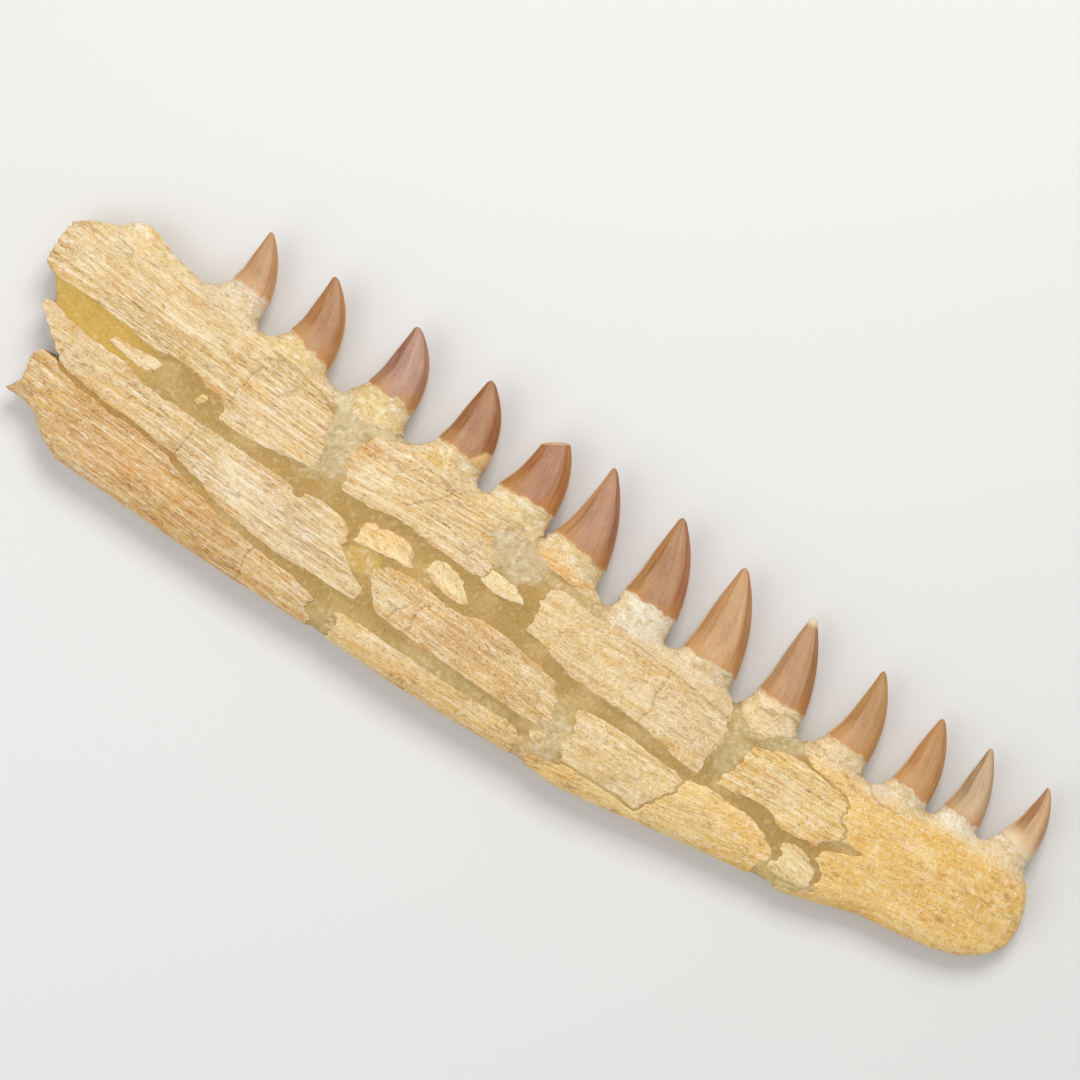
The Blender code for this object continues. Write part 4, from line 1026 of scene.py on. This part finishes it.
def crown_colours(index, share, angle, beyond):
    """Tones of enamel: a pale brown middle with a painted sheen and a band of painted shade, darker
    keels edged inside by a line of painted shade, pale rims of painted highlight and an uneven lower
    edge.
    """
    c = np.cos(angle)
    place_at = (10 * angle + 50, 35 * share)
    body_tone, root_tone, rear_band, front_band, pale_base = TOOTH_LOOKS[index]
    paint = Paint(body_tone, 1, len(share))
    cloud = noise(*place_at, 5, 9, 560 + index)
    paint.clouds(cloud, ((1.18, 1.2, 1.22), 0.6, 0.0, 0.9), ((0.85, 0.78, 0.72), 0.5, 0.1, 0.9))
    streak = octaves(*place_at, (1, 1.1, 16, 500 + index), (0.6, 0.7, 6, 520))
    paint.clouds(streak, ((0.74, 0.62, 0.52), 0.28, 0.15, 1.2), ((1.2, 1.24, 1.28), 0.25, 0.15, 1.2))
    # A pale band up each crown is a painted sheen, and a greyer band beside it is painted shade.
    facet = c - 0.2 - 0.2 * np.sin(2.1 * index)
    height = smoothstep(share, 0.05, 0.35) * (1 - 0.6 * smoothstep(share, 0.6, 0.95))
    paint.blend((1.2, 1.27, 1.36), 0.5 * height * np.exp(-((facet / 0.13) ** 2)))
    paint.blend((0.88, 0.84, 0.86), 0.45 * (np.exp(-(((facet + 0.36) / 0.17) ** 2)) * height))
    speck = octaves(*place_at, (1, 0.9, 1.0, 620 + index), (0.6, 2.2, 1.8, 640))
    paint.clouds(speck, ((0.82, 0.74, 0.64), 0.35, 0.2, 1.1), ((1.14, 1.2, 1.2), 0.3, 0.2, 1.1))
    wander = c + 0.06 * noise(*place_at, 30, 6, 580 + index)
    patchy = 0.75 + 0.25 * smoothstep(noise(*place_at, 3, 4, 600 + index), -0.5, 0.5)
    for side, (width, band_tone, strength) in ((-wander, rear_band), (wander, front_band)):
        inner = 1 - 2 * width
        paint.blend(band_tone, strength * (smoothstep(side, inner - 0.1, inner + 0.1) * patchy))
        # A darker line along the inner side of each keel band is painted shade, the keel's shadow.
        seam = np.exp(-(((side - inner - 0.06) / 0.06) ** 2)) * smoothstep(share, 0.02, 0.2)
        paint.blend(tone(band_tone) * (0.62, 0.5, 0.42), 0.5 * strength * seam)
    if index in CRACKED_CROWNS:
        crack = np.exp(-(((wander + 0.7) / 0.035) ** 2)) * smoothstep(share, 0.0, 0.12)
        paint.blend("5E3A1C", 0.75 * (crack * (1 - smoothstep(share, 0.5, 0.8))))
    paint.layer((1.24, 1.31, 1.4), pale_base, -share, -0.36, -0.06)
    paint.blend("C0854A", 0.55 * (smoothstep(c, 0.1, 0.6) * smoothstep(-share, -0.3, -0.08)))
    paint.blend("C09055", 0.4 * (smoothstep(-c, -0.2, 0.6) * smoothstep(-share, -0.35, -0.1)))
    # The pale rims along the crown's rear and front edges are painted highlights.
    rim = smoothstep(np.abs(c), 0.95, 0.98) * (1 - 0.5 * smoothstep(share, 0.4, 0.9))
    paint.blend("ECCBA0", 0.8 * rim)
    if index == CHIPPED_CROWN:
        chip = share - 0.16 * smoothstep(c, 0.3, 0.75) + 0.02 * noise(*place_at, 2, 2, 660)
        paint.layer("E4C28A", 0.9, -chip, -0.02, 0.01)
    ragged = share + 0.018 * noise(*place_at, 3, 9, 540 + index)
    ragged = ragged + 0.008 * noise(*place_at, 1, 3, 541 + index)
    fade = FADING.get(index, SHORT_FADE)
    paint.layer("C98D50", 0.5, -ragged, -fade - 0.05, -0.01)
    paint.layer(root_tone, 1, -ragged, -fade + 0.01, 0.0)
    paint.layer((0.8, 0.66, 0.55), 0.3, share, 0.8, 1.0)
    if index == BLUNT_TOOTH:
        paint.layer("E6D3B4", 0.85, share, 0.86, 0.95)
    if beyond is not None:
        paint.layer("D2AC88", 0.7, beyond, 0.0, 0.5)
    return paint.colours


def make_crown(index, finish):
    """One crown of enamel on its root."""
    rings, shares, angles = crown_points(index)
    beyond = None
    if index in BREAKS:
        rings, beyond = break_off(rings, *BREAKS[index])
    row = np.arange(CROWN_SIDES)
    after = (row + 1) % CROWN_SIDES
    quads = np.vstack([
        near + np.column_stack([row, after, after + CROWN_SIDES, row + CROWN_SIDES])
        for near in CROWN_SIDES * np.arange(len(shares) - 1)
    ])
    share, angle = np.repeat(shares, CROWN_SIDES), np.tile(angles, len(shares))
    colours = crown_colours(index, share, angle, beyond)
    length = math.dist(TEETH[index][0], TEETH[index][2])
    across, through = CROWN_GIRTH * np.cos(angle), CROWN_GIRTH * np.sin(angle)
    grain = np.column_stack([share * length, across + CROWN_SHIFT * index, through])
    piece = make_mesh(f"crown_{index + 1}", rings.reshape(-1, 3), quads, colours, finish, grain)
    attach(piece, "root")


class Look:
    """A material's nodes, which shade and roughen the piece's own tones."""

    def __init__(self, name, roughness):
        self.material = bpy.data.materials.new(name)
        self.material.use_nodes = True
        self.nodes, self.links = self.material.node_tree.nodes, self.material.node_tree.links
        self.inputs = self.nodes["Principled BSDF"].inputs
        self.inputs["Roughness"].default_value = roughness
        tint, grain = self.nodes.new("ShaderNodeAttribute"), self.nodes.new("ShaderNodeAttribute")
        tint.attribute_name, grain.attribute_name = "tint", "grain"
        self.colour, self.shown = tint.outputs["Color"], tint.outputs["Alpha"]
        self.place = grain.outputs["Vector"]
        self.normal = None

    def add(self, kind, output, inputs, **settings):
        """Adds a node, sets or links its inputs, and gives one of its outputs."""
        node = self.nodes.new("ShaderNode" + kind)
        for name, value in settings.items():
            setattr(node, name, value)
        for name, value in inputs.items():
            if isinstance(value, bpy.types.NodeSocket):
                self.links.new(value, node.inputs[name])
            else:
                node.inputs[name].default_value = value
        return node.outputs[output]

    def texture(self, scale, detail, roughness):
        """Noise with the given number of features a millimetre along, across and through."""
        place_at = self.add("Mapping", "Vector", {"Scale": scale, "Vector": self.place})
        inputs = {"Scale": 1.0, "Detail": detail, "Roughness": roughness, "Vector": place_at}
        return self.add("TexNoise", "Fac", inputs)

    def remap(self, value, low, high, to_low, to_high):
        """A value's range mapped to another, clamped."""
        ends = {"From Min": low, "From Max": high, "To Min": to_low, "To Max": to_high}
        return self.add("MapRange", "Result", {"Value": value, **ends})

    def combine(self, kind, one, two):
        """Two values put together by a sum, a product or the like."""
        return self.add("Math", "Value", {0: one, 1: two}, operation=kind)

    def product(self, value, *shares):
        """A value times each of the shares."""
        for share in shares:
            value = self.combine("MULTIPLY", value, share)
        return value

    def lines(self, value, width):
        """Thin lines where a texture crosses its middle value, from 0 to 1."""
        off = self.combine("ABSOLUTE", self.combine("SUBTRACT", value, 0.5), 0.0)
        return self.remap(off, 0.0, width, 1.0, 0.0)

    def shade(self, amount, tint, kind="MULTIPLY"):
        """Mixes a tone into the colour by an amount."""
        inputs = {"Factor": amount, "A": self.colour, "B": (*tint, 1)}
        self.colour = self.add("Mix", "Result", inputs, data_type="RGBA", blend_type=kind)

    def stain(self, value, low, high, most, tint, *shares, kind="MULTIPLY"):
        """Mixes in a tone as a value runs from low to high, times each of the shares."""
        self.shade(self.product(self.remap(value, low, high, 0, most), *shares), tint, kind)

    def bump(self, height, distance, strength):
        """Adds a bump from a height on top of the bumps before it."""
        inputs = {"Distance": distance, "Strength": strength, "Height": height}
        if self.normal is not None:
            inputs["Normal"] = self.normal
        self.normal = self.add("Bump", "Normal", inputs)

    def finish(self):
        """Joins the colour and the bumps to the shader."""
        self.links.new(self.colour, self.inputs["Base Color"])
        self.links.new(self.normal, self.inputs["Normal"])
        return self.material


def bone_material(name, dark, tan):
    """Matte fossil bone: fibres, long splits, slits and grit over the piece's tones."""
    look = Look(name, 0.78)
    dark_line = (0.66, 0.49, 0.30)
    fibre = look.texture((0.035, 0.7, 0.35), 5, 0.64)
    thread = look.texture((0.06, 1.9, 0.8), 3, 0.6)
    split = look.texture((0.04, 0.6, 0.25), 3, 0.6)
    slit = look.texture((0.22, 2.2, 1.0), 2, 0.5)
    dash = look.texture((0.42, 1.35, 1.0), 2, 0.6)
    patch = look.texture((0.045, 0.1, 0.1), 1, 0.5)
    grit = look.texture((1.3, 2.2, 2.2), 3, 0.65)
    blot = look.texture((0.28, 0.42, 0.42), 4, 0.72)
    some = look.remap(patch, 0.4, 0.6, 0.2, 1.0)
    look.stain(fibre, 0.47, 0.64, 0.9, tan, look.shown)
    look.stain(fibre, 0.47, 0.33, 0.65, (0.98, 0.87, 0.66), look.shown, kind="MIX")
    look.stain(blot, 0.52, 0.68, 0.55, (0.90, 0.79, 0.58))
    look.stain(blot, 0.47, 0.34, 0.5, (0.97, 0.87, 0.70), kind="MIX")
    look.stain(thread, 0.5, 0.66, 0.65, tan, look.shown)
    split_line = look.product(look.lines(split, 0.010), some, look.shown)
    look.shade(look.product(split_line, 0.75), dark)
    look.stain(slit, 0.58, 0.67, 0.7, dark, some, look.shown)
    look.shade(look.product(look.lines(thread, 0.022), some, look.shown), dark_line)
    look.stain(dash, 0.57, 0.68, 0.85, dark_line)
    look.stain(grit, 0.5, 0.7, 0.5, (0.82, 0.72, 0.56))
    look.stain(grit, 0.46, 0.3, 0.4, (0.97, 0.90, 0.76), kind="MIX")
    look.bump(look.product(fibre, look.shown), 0.0011, 0.6)
    look.bump(look.combine("SUBTRACT", 1.0, split_line), 0.0004, 0.6)
    look.bump(look.product(look.remap(slit, 0.58, 0.7, 1, 0), look.shown), 0.0003, 0.3)
    look.bump(grit, 0.0003, 0.55)
    return look.finish()


def matrix_material():
    """Sandy filler: grains and small hollows."""
    look = Look("sandy_filling", 0.95)
    grain = look.texture((1.7, 1.7, 1.7), 3, 0.65)
    lump = look.texture((0.35, 0.35, 0.35), 2, 0.5)
    look.stain(grain, 0.5, 0.7, 0.45, (0.70, 0.62, 0.48))
    look.stain(grain, 0.45, 0.3, 0.35, (0.80, 0.66, 0.40), kind="MIX")
    look.bump(lump, 0.0008, 0.35)
    look.bump(grain, 0.0004, 0.6)
    return look.finish()


def enamel_material():
    """Satin enamel with faint lines along the crown."""
    look = Look("enamel", 0.5)
    look.inputs["Specular IOR Level"].default_value = 0.34
    line = look.texture((0.07, 1.5, 1.5), 3, 0.55)
    speck = look.texture((1.1, 1.3, 1.3), 2, 0.5)
    look.stain(line, 0.5, 0.72, 0.3, (0.74, 0.62, 0.50))
    look.stain(line, 0.46, 0.3, 0.18, (0.66, 0.50, 0.36), kind="MIX")
    look.stain(speck, 0.56, 0.72, 0.4, (0.68, 0.54, 0.4))
    look.bump(line, 0.0003, 0.35)
    look.bump(speck, 0.0001, 0.3)
    return look.finish()


def plain_material(name, colour, roughness):
    """A plain surface for the floor."""
    made = bpy.data.materials.new(name)
    made.use_nodes = True
    shader = made.node_tree.nodes["Principled BSDF"]
    shader.inputs["Base Color"].default_value = (*colour, 1)
    shader.inputs["Roughness"].default_value = roughness
    return made


def area_light(name, place_at, target, size, power, colour):
    """A soft square light that points at a target."""
    light = bpy.data.lights.new(name, "AREA")
    light.size, light.energy, light.color = size, power, colour
    made = add_object(name, light)
    made.location = place_at
    made.rotation_euler = (Vector(target) - Vector(place_at)).to_track_quat("-Z", "Y").to_euler()


def make_stage():
    """Floor, lights and a camera straight above, turned so that the jaw runs down to the right."""
    mesh = bpy.data.meshes.new("floor")
    corners = [(FLOOR_REACH * i, FLOOR_REACH * j, 0) for i, j in ((-1, -1), (1, -1), (1, 1), (-1, 1))]
    mesh.from_pydata(corners, [], [(0, 1, 2, 3)])
    mesh.materials.append(plain_material("floor", (0.72, 0.71, 0.69), 0.9))
    add_object("floor", mesh)

    turn = math.radians(CAMERA_TURN)
    right = Vector((math.cos(turn), math.sin(turn), 0))
    up = Vector((-math.sin(turn), math.cos(turn), 0))
    aim = Vector((VIEW_CENTRE[0] * MM + SHIFT[0], VIEW_CENTRE[1] * MM + SHIFT[1], VIEW_LEVEL * MM))
    key = aim + right * 0.35 + up * 0.85 + Vector((0, 0, 1.25))
    fill = aim - right * 0.95 - up * 0.35 + Vector((0, 0, 1.1))
    area_light("key_light", key, aim, 0.7, KEY_POWER, (1.0, 0.985, 0.96))
    area_light("fill_light", fill, aim, 1.4, FILL_POWER, (0.97, 0.98, 1.0))

    world = bpy.data.worlds.new("studio")
    bpy.context.scene.world = world
    world.use_nodes = True
    background = world.node_tree.nodes["Background"].inputs
    background["Color"].default_value = (0.95, 0.97, 1.0, 1)
    background["Strength"].default_value = WORLD_POWER

    optics = bpy.data.cameras.new("camera")
    optics.lens, optics.sensor_width = LENS, SENSOR
    camera = add_object("camera", optics)
    camera.location = aim + Vector((0, 0, VIEW_WIDTH * MM * LENS / SENSOR))
    camera.rotation_euler = (0, 0, turn)
    bpy.context.scene.camera = camera
    bpy.context.scene.view_settings.view_transform = "Standard"


def main():
    make_stage()
    bone_finish = bone_material("fossil_bone", (0.50, 0.34, 0.18), (0.84, 0.70, 0.48))
    tip_finish = bone_material("golden_bone", (0.55, 0.36, 0.16), (0.92, 0.78, 0.50))
    for name, outline in BONES.items():
        make_bone(name, outline, None, 0.0, tip_finish if name == "dentary_tip" else bone_finish)
    for name, outline in CHIPS.items():
        spread = FRONT_CHIP_SPREAD if name == "chip_front" else CHIP_SPREAD
        make_bone(name, outline, CHIP_FLOOR, spread, bone_finish)
    make_matrix(matrix_material())
    enamel = enamel_material()
    for index in range(len(TEETH)):
        make_crown(index, enamel)


main()
